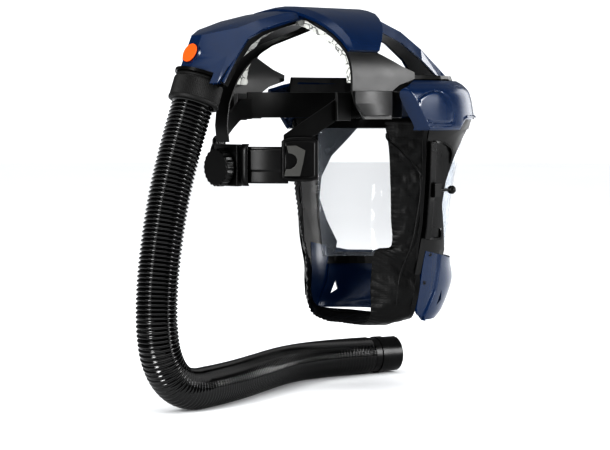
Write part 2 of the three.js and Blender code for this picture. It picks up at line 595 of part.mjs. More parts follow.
// The face seal and the rim that it is sewn to. Stations run from the temple down the cheek and under the
// chin; each has its rim and its gathered edge, as shares of the seal's own sizes.
const sealTall = seal.top - seal.bottom;
const sealTable = [
  { way: 0, rimForward: 1, rimSide: 1, rimUp: 1, edgeForward: 0.46, edgeSide: 0.9, edgeUp: 1 },
  { way: 0.1, rimForward: 1, rimSide: 1, rimUp: 0.86, edgeForward: 0.5, edgeSide: 0.95, edgeUp: 0.87 },
  { way: 0.22, rimForward: 1, rimSide: 1, rimUp: 0.7, edgeForward: 0.54, edgeSide: 0.95, edgeUp: 0.7 },
  { way: 0.36, rimForward: 1, rimSide: 1, rimUp: 0.5, edgeForward: 0.6, edgeSide: 0.915, edgeUp: 0.52 },
  { way: 0.48, rimForward: 1, rimSide: 1, rimUp: 0.36, edgeForward: 0.66, edgeSide: 0.87, edgeUp: 0.38 },
  { way: 0.58, rimForward: 0.97, rimSide: 0.99, rimUp: 0.22, edgeForward: 0.5, edgeSide: 0.69, edgeUp: 0.35 },
  { way: 0.68, rimForward: 0.95, rimSide: 0.93, rimUp: 0.1, edgeForward: 0.48, edgeSide: 0.63, edgeUp: 0.19 },
  { way: 0.78, rimForward: 1.12, rimSide: 0.72, rimUp: 0.02, edgeForward: 0.5, edgeSide: 0.6, edgeUp: 0.03 },
  { way: 0.89, rimForward: 1.5, rimSide: 0.4, rimUp: 0.005, edgeForward: 0.56, edgeSide: 0.36, edgeUp: -0.02 },
  { way: 1, rimForward: 1.65, rimSide: 0, rimUp: 0, edgeForward: 0.58, edgeSide: 0, edgeUp: -0.025 },
];

/** A point on the seal: u from the right temple (-1) round the chin to the left (1), v from edge to rim. */
function sealPoint(u, v) {
  const way = 1 - abs(u);
  const line = (column) => read(sealTable, 'way', way, column);
  const puff = seal.puff * sin(Math.PI * clamp(v, 0, 1)) * (way > 0.5 ? 0.8 : 0.4);
  const rimShare = (seal.bottom + sealTall * line('rimUp') - frame.bottom) / frameTall;
  const rimRear = frame.rear - read(frameTable, 'height', rimShare, 'rear') * frameFront - seal.gap;
  const forward = lerp(line('edgeForward') * frame.rear, line('rimForward') * rimRear, v);
  const rimHalf = (frameHalf - seal.inset) * read(frameTable, 'height', rimShare, 'half');
  const side = lerp(line('edgeSide') * seal.edgeHalf, line('rimSide') * rimHalf, v) + puff * (way < 0.8 ? 1 : 0);
  const up = seal.bottom + sealTall * lerp(line('edgeUp'), line('rimUp'), v) - puff * (way > 0.8 ? 1 : 0);
  return at(forward, side * -sign(u || 1), up);
}
const sealWays = sealTable.map((row) => row.way);
const sealHalf = sealWays.flatMap((way, i) => (i ? [(way + sealWays[i - 1]) / 2, way] : [way]));
const sealAlong = [...sealHalf.map((way) => way - 1), ...sealHalf.slice(0, -1).reverse().map((way) => 1 - way)];
const cloth = trimmed(solid(plate(sealPoint, sealAlong, spread(0, 0.85, 4), 0, -wall.cloth)).subtract(browRoom));
add('face_seal', cloth, finish.cloth);
const rimStrip = solid(plate(sealPoint, sealAlong, [0.87, 1], seal.rimDepth * 0.5, -seal.rimDepth * 0.5));
const rimCut = rimStrip.subtract(room(cloth)).subtract(browRoom).subtract(room(frameSolid));
add('seal_rim', trimmed(rimCut), finish.gloss);

// The head harness, on an oval round the head: angles in degrees from the front towards the right side
const bandUp = (share) => lerp(band.low, band.high, share);

/** A strip on the head's oval, between two angles, from its lower edge to its upper edge. */
function bandPoint(low, high, grow = 0) {
  return (angle, v) => {
    const turn = degToRad(angle);
    const up = lerp(low(angle), high(angle), v);
    return at(band.centre + (band.length + grow) * cos(turn), (band.half + grow) * sin(turn), up);
  };
}
const level = (up) => () => up;
const rearSide = bandPoint(level(band.low), level(band.high));
const housingEdge = 168;
const sidePlateAngles = [140, 119];
addPair('rear_band', solid(plate(rearSide, spread(housingEdge - 0.5, sidePlateAngles[0] - 4, 6), [0, 1], 0, -wall.strap)), finish.gloss);

const housingPoint = bandPoint(level(-ratchet.housingHalf + 6), level(ratchet.housingHalf - 2));
const housing = solid(plate(housingPoint, spread(360 - housingEdge, housingEdge, 8), [0, 1], ratchet.housing - 3, -3));
add('ratchet_housing', housing, finish.gloss);

const knobOutline = Array.from({ length: ratchet.lobes * 2 }, (_, i) => {
  const reach = ratchet.radius + (i % 2 ? -ratchet.lobe : 0);
  const turn = (i / (ratchet.lobes * 2)) * Math.PI * 2;
  return new THREE.Vector2(reach * cos(turn), reach * sin(turn));
});
const knob = new THREE.ExtrudeGeometry(new THREE.Shape(knobOutline), {
  depth: ratchet.height - 2, bevelEnabled: true, bevelThickness: 1, bevelSize: 1, bevelOffset: -1, bevelSegments: 1,
}).rotateX(-Math.PI / 2);
knob.translate(0, -band.centre + band.length + ratchet.housing - 3 + clearance + 1, 0);
add('ratchet_knob', knob, finish.gloss);

/** A height that runs straight from one angle's to another's. */
const rising = (from, to) => (angle) => lerp(from.up, to.up, clamp((angle - from.angle) / (to.angle - from.angle), 0, 1));
const plateLow = (angle) => bandUp(0.06) + ((angle - 130) / 10) ** 2 * 3;
const plateHigh = (angle) => bandUp(1.26) - ((angle - 130) / 10) ** 2 * 3;
const sidePlatePoint = bandPoint(plateLow, plateHigh, clearance);
addPair('side_plate', solid(plate(sidePlatePoint, spread(sidePlateAngles[0], sidePlateAngles[1], 6), spread(0, 1, 3), 2.4, 0)), finish.gloss);
const hookPoint = bandPoint(level(bandUp(0.14)), level(bandUp(0.98)), 2.4 + clearance * 2);
addPair('hook_plate', solid(plate(hookPoint, spread(136, 126, 3), [0, 1], 1.6, 0)), finish.grey);

const strapFoot = { angle: 139, up: bandUp(0.72) };
const strapTop = { angle: 106, up: pivot.postUp - band.strapWidth / 2 - 4 };
const strapLow = rising(strapFoot, strapTop);
const strapHigh = (angle) => strapLow(angle) + band.strapWidth;
const underPlate = bandPoint(strapLow, strapHigh, -wall.strap - clearance);
addPair('front_strap', solid(plate(underPlate, spread(strapFoot.angle, 97, 9), [0, 1], 0, -wall.strap)), finish.gloss);
const clipPoint = bandPoint(level(strapTop.up - 1), level(strapTop.up + band.strapWidth + 5), clearance);
addPair('strap_clip', solid(plate(clipPoint, spread(108, 99.5, 3), [0, 1], 3, -wall.strap)), finish.black);

const frontPoint = bandPoint(level(pivot.postUp - band.frontHalf), level(pivot.postUp + band.frontHalf));
add('front_headband', plate(frontPoint, spread(99, -99, 28), [0, 1], 0, -wall.strap), finish.gloss);

// The strap from the ratchet's housing up over the crown to the arch
const strapSpine = [
  { way: 0, forward: -1.19, up: 0.155 }, { way: 0.12, forward: -1.21, up: 0.25 }, { way: 0.24, forward: -1.19, up: 0.38 },
  { way: 0.36, forward: -1.1, up: 0.52 }, { way: 0.48, forward: -0.93, up: 0.65 }, { way: 0.6, forward: -0.7, up: 0.745 },
  { way: 0.74, forward: -0.44, up: 0.8 }, { way: 0.87, forward: -0.2, up: 0.85 }, { way: 1, forward: 0.03, up: 0.925 },
];

/** A point of the crown strap: u across it, v along it from the ratchet to the arch. */
function crownPoint(u, v) {
  const forward = read(strapSpine, 'way', v, 'forward') * (band.length - 1);
  return at(forward, u * crown.width / 2, read(strapSpine, 'way', v, 'up') * arch.top);
}
add('overhead_strap', plate(crownPoint, [-1, 1], spread(0, 1, 16), crown.thickness / 2, -crown.thickness / 2), finish.gloss);

export default shield;
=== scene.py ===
# %% [markdown]
# # A face shield that is fed with air through a hose
#
# A hose brings air to a duct behind the crown, the duct leads it over the head to the brow, and the brow
# lets it fall behind a clear visor. A gathered cloth seal closes the sides under the jaw. This lesson
# dresses the shield's construction model: every moulding gets its rounded edges and its finish, and the
# hose, the cloth, the liner and the harness get their real surface.
#
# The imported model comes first.

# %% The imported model
import math
from bisect import bisect_right

import bmesh
import bpy
from mathutils import Matrix, Vector, noise


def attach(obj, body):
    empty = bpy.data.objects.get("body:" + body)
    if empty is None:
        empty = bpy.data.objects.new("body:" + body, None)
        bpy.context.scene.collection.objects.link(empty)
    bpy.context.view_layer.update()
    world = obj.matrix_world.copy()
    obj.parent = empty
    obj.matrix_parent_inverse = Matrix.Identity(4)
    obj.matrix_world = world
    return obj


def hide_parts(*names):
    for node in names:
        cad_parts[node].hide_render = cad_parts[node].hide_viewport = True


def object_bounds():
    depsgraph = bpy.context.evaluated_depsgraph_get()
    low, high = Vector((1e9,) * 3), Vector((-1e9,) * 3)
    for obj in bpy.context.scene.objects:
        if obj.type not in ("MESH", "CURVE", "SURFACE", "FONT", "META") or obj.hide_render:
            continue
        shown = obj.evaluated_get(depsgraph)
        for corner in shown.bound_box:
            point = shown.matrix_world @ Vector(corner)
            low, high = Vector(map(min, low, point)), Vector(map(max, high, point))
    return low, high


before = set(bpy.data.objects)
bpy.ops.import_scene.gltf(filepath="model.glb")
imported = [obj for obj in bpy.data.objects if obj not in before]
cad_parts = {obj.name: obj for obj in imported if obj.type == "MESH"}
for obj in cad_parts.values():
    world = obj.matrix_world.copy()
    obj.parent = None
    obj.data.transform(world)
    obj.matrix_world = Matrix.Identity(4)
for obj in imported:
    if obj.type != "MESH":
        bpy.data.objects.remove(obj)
cad_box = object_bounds()
MM = 0.001
FLOOR = cad_box[0][2]
scene = bpy.context.scene
print("box of the construction model in mm:", [[round(value / MM) for value in corner] for corner in cad_box])

# %% [markdown]
# ## The photographer's side
#
# The shield is seen from behind the wearer's right ear, from almost level. A long lens far away is used and
# not a wide one nearby, because a wide one would swell the hose, which is nearest.

# %% Camera
def placed(name, data):
    """A new object in the scene."""
    made = bpy.data.objects.new(name, data)
    scene.collection.objects.link(made)
    return made


CAMERA_PLACE = Vector((-1.501, 1.322, 0.0552))
CAMERA_TARGET = Vector((0.006, 0.012, -0.060))
camera_data = bpy.data.cameras.new("photo camera")
camera_data.sensor_width = 36
camera_data.lens = 118
camera = placed("photo camera", camera_data)
camera.location = CAMERA_PLACE
camera.rotation_euler = (CAMERA_TARGET - CAMERA_PLACE).to_track_quat("-Z", "Y").to_euler()
scene.camera = camera
print("camera distance in m:", round((CAMERA_TARGET - CAMERA_PLACE).length, 3))

# %% [markdown]
# ## Soft boxes and a pale floor
#
# Black plastic has almost no colour of its own, so what shows of it is what it mirrors. A wide, soft sun
# overhead lights the roof of the duct. A tall box to the front right puts one band of light on the arm, an
# equal one to the left rear puts a row of short ones on the hose's ribs, and a weak one in front opens up
# the visor. The camera sees a pale sky, but the plastic mirrors a dim one, so that it stays black.

# %% Light
def add(tree, kind, settings=None, inputs=None):
    """Adds a node with its settings, and sets or links its inputs by name or number."""
    node = tree.nodes.new(kind)
    for name, value in (settings or {}).items():
        setattr(node, name, value)
    for name, value in (inputs or {}).items():
        if isinstance(value, bpy.types.NodeSocket):
            tree.links.new(value, node.inputs[name])
        else:
            node.inputs[name].default_value = value
    return node


def softbox(name, place, size, watts, height=None):
    """A rectangular lamp at a place in metres, turned towards the shield."""
    data = bpy.data.lights.new(name, "AREA")
    data.shape = "RECTANGLE"
    data.size = size
    data.size_y = height or size
    data.energy = watts
    lamp = placed(name, data)
    lamp.location = place
    lamp.rotation_euler = (-Vector(place)).to_track_quat("-Z", "Y").to_euler()


ceiling_data = bpy.data.lights.new("ceiling", "SUN")
ceiling_data.energy = 2.0
ceiling_data.angle = math.radians(75)
ceiling = placed("ceiling", ceiling_data)
ceiling.rotation_euler = (math.radians(-14), math.radians(-10), 0)
softbox("right side box", (-1.9, -1.25, 0.55), 0.5, 44, 1.1)
softbox("left rear box", (-0.4, 2.1, 0.5), 0.5, 42, 1.1)
softbox("front box", (0.3, -2.2, 0.4), 1.2, 10)

sky = bpy.data.worlds.new("studio")
scene.world = sky
sky.use_nodes = True
sky_tree = sky.node_tree
seen = add(sky_tree, "ShaderNodeLightPath").outputs["Is Camera Ray"]
sky_light = add(sky_tree, "ShaderNodeMapRange", inputs={"Value": seen, "To Min": 0.2, "To Max": 0.93})
background = sky_tree.nodes["Background"].inputs
background["Color"].default_value = (0.97, 0.98, 1, 1)
sky_tree.links.new(sky_light.outputs["Result"], background["Strength"])
scene.view_settings.view_transform = "Standard"
scene.view_settings.look = "High Contrast"

# %% [markdown]
# ## Finishes
#
# Moulded ABS is glossy where its steel mould was polished and satin where the mould was etched, and the hose
# is soft PVC, which keeps a wet shine. The colours are the usual hex values for a screen, turned to the
# linear ones that the renderer adds up with.

# %% Helpers for finishes
def linear(code):
    """A hex colour for a screen as linear red, green and blue, with full opacity."""
    channels = [int(code[i:i + 2], 16) / 255 for i in (1, 3, 5)]
    return [c / 12.92 if c <= 0.04045 else ((c + 0.055) / 1.055) ** 2.4 for c in channels] + [1]


def finish(name, sockets):
    """A new material with constant values on its shader. Gives the material, its tree and its shader."""
    made = bpy.data.materials.new(name)
    made.use_nodes = True
    shader = made.node_tree.nodes["Principled BSDF"]
    for socket, value in sockets.items():
        shader.inputs[socket].default_value = value
    return made, made.node_tree, shader


def moulded(name, dark, light, roughness, sockets, grain=0.9, depth=0.05, blotch=18):
    """A moulded plastic: two near shades in large soft patches, uneven shine, and a fine grain in mm."""
    made, tree, shader = finish(name, sockets)
    place = add(tree, "ShaderNodeTexCoord").outputs["Object"]
    patches = add(tree, "ShaderNodeTexNoise", inputs={
        "Vector": place, "Scale": 1 / (blotch * MM), "Detail": 3})
    shade = add(tree, "ShaderNodeMix", {"data_type": "RGBA"},
                {0: patches.outputs["Fac"], 6: linear(dark), 7: linear(light)})
    tree.links.new(shade.outputs[2], shader.inputs["Base Color"])
    shine = add(tree, "ShaderNodeMapRange", inputs={
        "Value": patches.outputs["Fac"], "From Min": 0.3, "From Max": 0.7,
        "To Min": roughness * 0.88, "To Max": roughness * 1.12})
    tree.links.new(shine.outputs["Result"], shader.inputs["Roughness"])
    grains = add(tree, "ShaderNodeTexNoise", inputs={
        "Vector": place, "Scale": 1 / (grain * MM), "Detail": 2})
    bump = add(tree, "ShaderNodeBump", inputs={
        "Height": grains.outputs["Fac"], "Strength": 1, "Distance": depth * MM})
    tree.links.new(bump.outputs["Normal"], shader.inputs["Normal"])
    return made


# %% [markdown]
# The covers are polished navy ABS, so the ceiling shows in them as a greyish sheen. The arch is the same
# plastic in black from an etched mould: its grain of about half a millimetre is drawn at nearly one, so that
# it shows. The visor's frame and the harness are smoother black nylon and polypropylene.

# %% Hard plastics
navy_abs = moulded("navy polished ABS", "#001834", "#001e3e", 0.24,
                   {"IOR": 1.53, "Specular IOR Level": 0.34}, grain=2.4, depth=0.012)
black_abs = moulded("black etched ABS", "#060606", "#090909", 0.4,
                    {"IOR": 1.53, "Specular IOR Level": 0.42}, grain=0.9, depth=0.05)
black_nylon = moulded("smooth black nylon", "#030303", "#050505", 0.3,
                      {"IOR": 1.5, "Specular IOR Level": 0.22}, grain=1.6, depth=0.015)
band_plastic = moulded("black polypropylene band", "#030303", "#060606", 0.32,
                       {"IOR": 1.49, "Specular IOR Level": 0.22}, grain=1.4, depth=0.02)
collar_rubber = moulded("matte black rubber", "#0d0d0d", "#111110", 0.62,
                        {"IOR": 1.5, "Specular IOR Level": 0.3}, grain=0.8, depth=0.05)
grey_nylon = moulded("grey nylon", "#343432", "#3b3b39", 0.5,
                     {"IOR": 1.5, "Specular IOR Level": 0.4}, grain=1, depth=0.04)
orange_abs = moulded("orange ABS", "#c24c08", "#ca560c", 0.5,
                     {"IOR": 1.53, "Specular IOR Level": 0.35}, grain=0.8, depth=0.03)
hose_pvc = moulded("glossy black PVC", "#020202", "#030303", 0.12,
                   {"IOR": 1.53, "Specular IOR Level": 0.38}, grain=3, depth=0.02)

# %% [markdown]
# The visor is a clear polycarbonate sheet 1.5 mm thick, which hardly bends light. So it is made mostly
# transparent, and grows more solid where it is seen edge-on, as the real one does.

# %% Clear polycarbonate
clear_sheet, clear_tree, clear_shader = finish("clear polycarbonate", {
    "Base Color": linear("#a9b0b9"), "Roughness": 0.05, "IOR": 1.58, "Specular IOR Level": 0.6})
edge_on = add(clear_tree, "ShaderNodeLayerWeight", inputs={"Blend": 0.28})
solidity = add(clear_tree, "ShaderNodeMapRange", inputs={
    "Value": edge_on.outputs["Facing"], "From Min": 0, "From Max": 1, "To Min": 0.11, "To Max": 0.6})
clear_tree.links.new(solidity.outputs["Result"], clear_shader.inputs["Alpha"])

# %% [markdown]
# The seal is a woven nylon cloth with a thin coating: almost black, with a dull sheen on its folds. Its real
# weave, about 0.4 mm, is too fine to see from here and is drawn at 1.2 mm. The liner inside the arch is a
# white felt-like foam whose pinched creases are darkened with painted shade, except in scattered dabs.

# %% Cloth and foam
cloth, cloth_tree, cloth_shader = finish("coated black nylon cloth", {
    "Base Color": linear("#030303"), "Roughness": 0.45, "IOR": 1.5, "Specular IOR Level": 0.2,
    "Sheen Weight": 0.02, "Sheen Roughness": 0.4})
cloth_place = add(cloth_tree, "ShaderNodeTexCoord").outputs["Object"]
WEAVE = 1.2
# A wave texture of scale 1 fits this many half waves, each one thread, into a unit.
HALF_WAVES = 6.3
WRINKLE = 9
threads = [
    add(cloth_tree, "ShaderNodeTexWave", {"bands_direction": way, "wave_profile": "SIN"},
        {"Vector": cloth_place, "Scale": 1 / (WEAVE * MM) / HALF_WAVES, "Distortion": 0.6, "Detail": 1})
    for way in ("Y", "Z")
]
woven = add(cloth_tree, "ShaderNodeMath", {"operation": "MULTIPLY"},
            {0: threads[0].outputs["Fac"], 1: threads[1].outputs["Fac"]})
wrinkles = add(cloth_tree, "ShaderNodeTexNoise", inputs={
    "Vector": cloth_place, "Scale": 1 / (WRINKLE * MM), "Detail": 4})
relief = add(cloth_tree, "ShaderNodeMath", {"operation": "MULTIPLY_ADD"},
             {0: wrinkles.outputs["Fac"], 1: 6.0, 2: woven.outputs["Value"]})
cloth_bump = add(cloth_tree, "ShaderNodeBump", inputs={
    "Height": relief.outputs["Value"], "Strength": 0.7, "Distance": 0.1 * MM})
cloth_tree.links.new(cloth_bump.outputs["Normal"], cloth_shader.inputs["Normal"])

foam, foam_tree, foam_shader = finish("white felted foam", {
    "Roughness": 0.85, "IOR": 1.45, "Specular IOR Level": 0.2, "Sheen Weight": 0.15})
FOAM_CELL = 9
FOAM_DAB = 14
foam_place = add(foam_tree, "ShaderNodeTexCoord").outputs["Object"]
creases = add(foam_tree, "ShaderNodeTexVoronoi", {"feature": "DISTANCE_TO_EDGE"},
              {"Vector": foam_place, "Scale": 1 / (FOAM_CELL * MM), "Randomness": 1})
# Near the edges of the cells this map paints shade into the creases, and the same map also bumps them in.
crease_shade_and_bump = add(foam_tree, "ShaderNodeMapRange", inputs={
    "Value": creases.outputs["Distance"], "From Min": 0.0, "From Max": 0.07, "To Min": 0, "To Max": 1})
dabs = add(foam_tree, "ShaderNodeTexNoise", inputs={
    "Vector": foam_place, "Scale": 1 / (FOAM_DAB * MM), "Detail": 2})
# In these dabs the creases get no painted shade.
shade_free_dabs = add(foam_tree, "ShaderNodeMath", {"operation": "GREATER_THAN"}, {0: dabs.outputs["Fac"], 1: 0.6})
kept = add(foam_tree, "ShaderNodeMath", {"operation": "MAXIMUM"},
           {0: crease_shade_and_bump.outputs["Result"], 1: shade_free_dabs.outputs["Value"]})
# The dark colour is painted shade in the creases, and the light one is the foam's own white.
foam_white_and_crease_shade = add(foam_tree, "ShaderNodeMix", {"data_type": "RGBA"},
                 {0: kept.outputs["Value"], 6: linear("#1d1e21"), 7: linear("#b9bab6")})
foam_tree.links.new(foam_white_and_crease_shade.outputs[2], foam_shader.inputs["Base Color"])
foam_bump = add(foam_tree, "ShaderNodeBump", inputs={
    "Height": crease_shade_and_bump.outputs["Result"], "Strength": 0.8, "Distance": 0.5 * MM})
foam_tree.links.new(foam_bump.outputs["Normal"], foam_shader.inputs["Normal"])

floor_paint = moulded("pale studio floor", "#eeeff0", "#f1f2f3", 0.9,
                      {"Specular IOR Level": 0.02}, grain=4, depth=0.01, blotch=400)
print("finishes:", len(bpy.data.materials))

# %% [markdown]
# ## Making pieces
#
# A finished piece has its place in its mesh, rides on the shield's one body, and hides the construction
# solids it stands for. A bent sheet starts as a flat grid whose points are laid on a surface, and gets its
# wall from a Solidify modifier, so that one function gives both faces.

# %% Helpers for pieces
MERGE = 0.02
TUBE_MERGE = 0.01
FLAT_ANGLE = 0.5
SIDES = ((1, "right"), (-1, "left"))


def at(forward, side, up):
    """A place from millimetres forward of the head's middle, out to the wearer's right, and up."""
    return Vector((-side, -forward, up)) * MM


def piece(name, mesh, material, slot, *nodes, smooth=35):
    """Makes a mesh a finished piece that stands for some nodes. Edges sharper than smooth stay crisp."""
    data = bpy.data.meshes.new(name)
    mesh.to_mesh(data)
    mesh.free()
    made = placed(name, data)
    data.materials.append(material)
    data.shade_smooth()
    data.set_sharp_from_angle(angle=math.radians(smooth))
    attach(made, "root")
    if nodes:
        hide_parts(*nodes)
    return made


def modify(made, kind, **settings):
    """Adds a modifier with its settings."""
    modifier = made.modifiers.new(kind.title(), kind)
    for name, value in settings.items():
        setattr(modifier, name, value)
    return modifier


def walled(made, wall, offset):
    """Gives a bent sheet a wall in millimetres, on the side that the offset names."""
    modify(made, "SOLIDIFY", thickness=wall * MM, offset=offset)


def rounded(made, width, angle=30, segments=3):
    """Rounds a piece's sharp edges by a width in millimetres."""
    modify(made, "BEVEL", width=width * MM, segments=segments, limit_method="ANGLE",
           angle_limit=math.radians(angle), harden_normals=True, miter_outer="MITER_ARC")
    return made


def refined(node, name, material, slot, edge, angle=30, smooth=35):
    """A copy of a node's mesh: its triangles are merged, its flat ones joined, and its edges rounded."""
    mesh = bmesh.new()
    mesh.from_mesh(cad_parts[node].data)
    bmesh.ops.remove_doubles(mesh, verts=mesh.verts, dist=MERGE * MM)
    bmesh.ops.dissolve_limit(mesh, angle_limit=math.radians(FLAT_ANGLE), verts=mesh.verts, edges=mesh.edges)
    return rounded(piece(name, mesh, material, slot, node, smooth=smooth), edge, angle)


def bent(surface, across, along, flip=False):
    """A grid laid on a surface, whose two places each run from 0 to 1."""
    mesh = bmesh.new()
    bmesh.ops.create_grid(mesh, x_segments=across, y_segments=along, size=0.5)
    for point in mesh.verts:
        point.co = surface(point.co.x + 0.5, point.co.y + 0.5)
    if flip:
        bmesh.ops.reverse_faces(mesh, faces=mesh.faces)
    return mesh


def tube(surface, across, along):
    """A closed tube: its seam is merged and its ends are filled."""
    mesh = bent(surface, across, along)
    bmesh.ops.remove_doubles(mesh, verts=mesh.verts, dist=TUBE_MERGE * MM)
    bmesh.ops.holes_fill(mesh, edges=[edge for edge in mesh.edges if edge.is_boundary])
    bmesh.ops.recalc_face_normals(mesh, faces=mesh.faces)
    return mesh


def turned(profile, steps, axis_place, axis):
    """A profile of radius and height in millimetres, spun round an axis. It ends where it started."""
    mesh = bmesh.new()
    points = [mesh.verts.new((radius * MM, 0, height * MM)) for radius, height in profile]
    edges = [mesh.edges.new(pair) for pair in zip(points, points[1:] + points[:1])]
    bmesh.ops.spin(mesh, geom=points + edges, cent=(0, 0, 0), axis=(0, 0, 1), angle=math.tau,
                   steps=steps, use_merge=True)
    bmesh.ops.recalc_face_normals(mesh, faces=mesh.faces)
    turn = axis.to_track_quat("Z", "Y").to_matrix().to_4x4()
    bmesh.ops.transform(mesh, matrix=Matrix.Translation(axis_place) @ turn, verts=mesh.verts)
    return mesh


def read(rows, place, column):
    """Reads a column of a table at a place, on a smooth curve through its rows."""
    places = [row[0] for row in rows]
    last = len(rows) - 1
    i = max(0, min(last - 1, sum(1 for each in places if each <= place) - 1))
    span = places[i + 1] - places[i]

    def slope(k):
        low, high = max(0, k - 1), min(last, k + 1)
        return (rows[high][column] - rows[low][column]) / (places[high] - places[low])
    t = max(0.0, min(1.0, (place - places[i]) / span))
    start, end = rows[i][column], rows[i + 1][column]
    bend = t * t * (3 - 2 * t)
    return start + (end - start) * bend + span * t * (1 - t) * ((1 - t) * slope(i) - t * slope(i + 1))


def flat(*points):
    """Places on a flat, as vectors."""
    return [Vector(point) for point in points]


# %% [markdown]
# ## Floor
#
# The shield is held up as a head would hold it, and only the loose end of its hose lies on the floor.

# %% Floor
floor_mesh = bmesh.new()
bmesh.ops.create_circle(floor_mesh, cap_ends=True, segments=96, radius=9)
bmesh.ops.translate(floor_mesh, verts=floor_mesh.verts, vec=(0, 0, FLOOR))
floor_data = bpy.data.meshes.new("floor")
floor_mesh.to_mesh(floor_data)
floor_mesh.free()
floor = placed("floor", floor_data)
floor_data.materials.append(floor_paint)

# %% [markdown]
# ## The hose
#
# A breathing hose has a rib every four millimetres, so that it bends without folding. Its line leaves the
# collar on its axis, hangs, turns on the floor under its own weight and runs forward beside the wearer's
# left. The ribs are real shape and not a bump, because they make the outline. The grid is rolled round the
# line, and its seam is then merged.

# %% The hose's line
HOSE_RADIUS = 20
RIB_PITCH = 4.1
RIB_DEPTH = 1.9
RIB_FULLNESS = 0.7
ROUND_HOSE = 28
STEPS_PER_RIB = 6
HOSE_POINTS = [at(*point) for point in (
    (-158.2, 0, 60.1), (-162.6, 0, 48), (-167.9, 0, 33.5), (-173.3, 0, 18), (-179.6, 0, -2),
    (-186, 0, -25), (-192, 0, -52), (-196.6, 0, -78), (-200, 0, -104), (-201.6, 0, -130),
    (-201, 0, -153), (-196.5, -0.8, -176), (-186, -2.6, -195), (-170, -5.5, -207.5), (-150, -9.5, -212.6),
    (-128, -15.5, -213), (-104, -24, -213), (-78, -35, -213), (-50, -49, -213), (-22, -64, -213),
    (6, -79, -213), (34, -92, -213), (64, -101, -213), (95, -104, -213), (128, -102, -213),
    (158, -97, -213),
)]


def through(points, share):
    """A place on the smooth curve through some points, by the share of the way along."""
    place = min(max(share, 0), 1) * (len(points) - 1)
    i = min(int(place), len(points) - 2)
    t = place - i
    b, c = points[i], points[i + 1]
    a = points[i - 1] if i > 0 else b + (b - c)
    d = points[i + 2] if i < len(points) - 2 else c + (c - b)
    second = 2 * a - 5 * b + 4 * c - d
    third = 3 * b - a - 3 * c + d
    return 0.5 * (2 * b + (c - a) * t + second * t ** 2 + third * t ** 3)


FINE = 500
hose_line = [through(HOSE_POINTS, i / FINE) for i in range(FINE + 1)]
hose_run = [0.0]
for before, after in zip(hose_line, hose_line[1:]):
    hose_run.append(hose_run[-1] + (after - before).length)
hose_length = hose_run[-1]
print("hose length in m:", round(hose_length, 4))

# %% The hose's ribs
hose_sides = [Vector((1, 0, 0))]
for i in range(1, FINE + 1):
    way = (hose_line[min(i + 1, FINE)] - hose_line[i - 1]).normalized()
    hose_sides.append((hose_sides[-1] - way * way.dot(hose_sides[-1])).normalized())


def hose_point(around, along):
    """A point of the ribbed tube."""
    run = along * hose_length
    i = min(FINE - 1, bisect_right(hose_run, run) - 1)
    t = (run - hose_run[i]) / (hose_run[i + 1] - hose_run[i])
    centre = hose_line[i].lerp(hose_line[i + 1], t)
    side = hose_sides[i].lerp(hose_sides[i + 1], t).normalized()
    way = (hose_line[i + 1] - hose_line[i]).normalized()
    third = way.cross(side)
    crest = (0.5 + 0.5 * math.cos(math.tau * run / (RIB_PITCH * MM))) ** RIB_FULLNESS
    radius = (HOSE_RADIUS - RIB_DEPTH * (1 - crest)) * MM
    angle = math.tau * around
    return centre + (side * math.cos(angle) + third * math.sin(angle)) * radius


rib_steps = int(hose_length / (RIB_PITCH * MM) * STEPS_PER_RIB)
hose_mesh = tube(hose_point, ROUND_HOSE, rib_steps)
hose = piece("air_hose", hose_mesh, hose_pvc, "hose_plastic", "hose", smooth=80)
connector = refined("hose_connector", "supply_connector", black_nylon, "black_plastic", 0.8)
print("hose faces:", len(hose.data.polygons))

# %% [markdown]
# ## The collar
#
# The hose turns in a rubber collar under the duct: a grip with fine lengthwise ribs between a smooth bead
# and a lip. A profile is spun in twice as many steps as there are ribs, and every second column of the grip
# is then pushed in.

# %% The collar
COLLAR_LEAN = math.radians(20)
COLLAR_TOP = at(-149, 0, 85)
COLLAR_RIBS = 84
GRIP = (4.5, 22.5)
GRIP_INSIDE = 23
GRIP_DEPTH = 0.45
collar_axis = at(-math.sin(COLLAR_LEAN), 0, -math.cos(COLLAR_LEAN)).normalized()
collar_mesh = turned(
    [(20.6, 0.4), (22.4, 0.4), (23, 1.2), (23, 2.8), (22.2, 3.4), (22.2, 4), (23.7, 4.6), (24, 6), (24, 21),
     (23.8, 22.4), (24.4, 23), (24.5, 24.6), (24.1, 25.8), (23, 26.3), (20.6, 26.3)],
    2 * COLLAR_RIBS, COLLAR_TOP, collar_axis)
for point in collar_mesh.verts:
    down = (point.co - COLLAR_TOP).dot(collar_axis) / MM
    out = (point.co - COLLAR_TOP) - collar_axis * down * MM
    if GRIP[0] < down < GRIP[1] and out.length > GRIP_INSIDE * MM:
        turn = math.atan2(out.dot(Vector((1, 0, 0))), out.dot(collar_axis.cross(Vector((1, 0, 0)))))
        if round(turn / math.tau * 2 * COLLAR_RIBS) % 2:
            point.co -= out.normalized() * GRIP_DEPTH * MM
piece("ribbed_collar", collar_mesh, collar_rubber, "collar_rubber", "hose_collar", smooth=50)

# %% [markdown]
# ## Curves round the face
#
# Brow, visor, chin and seal all run round the face with a straight leg beside each temple and an ellipse
# round the front. So one plan curve serves them, and a small table for each says how wide and how long it
# is at each height. Most of these are the construction model's own numbers, read on
# a smooth curve here, so that the finished mouldings sit where the construction solids do. The corners of
# the chin, the brow and the seal are moved by a few millimetres to what the real ones show.

# %% The plan curve
def horseshoe(u, rear, shoulder, front, half, leg):
    """Forward and side in mm at a share of the way round, from -1 at the right end to 1 at the left."""
    reach = abs(u)
    side = -math.copysign(half, u)
    if reach > 1 - leg:
        return shoulder + (rear - shoulder) * (reach - 1 + leg) / leg, side
    angle = reach / (1 - leg) * math.pi / 2
    return shoulder + (front - shoulder) * math.cos(angle), side * math.sin(angle)


def clamp(value, low=0.0, high=1.0):
    """A value kept between two limits."""
    return max(low, min(high, value))


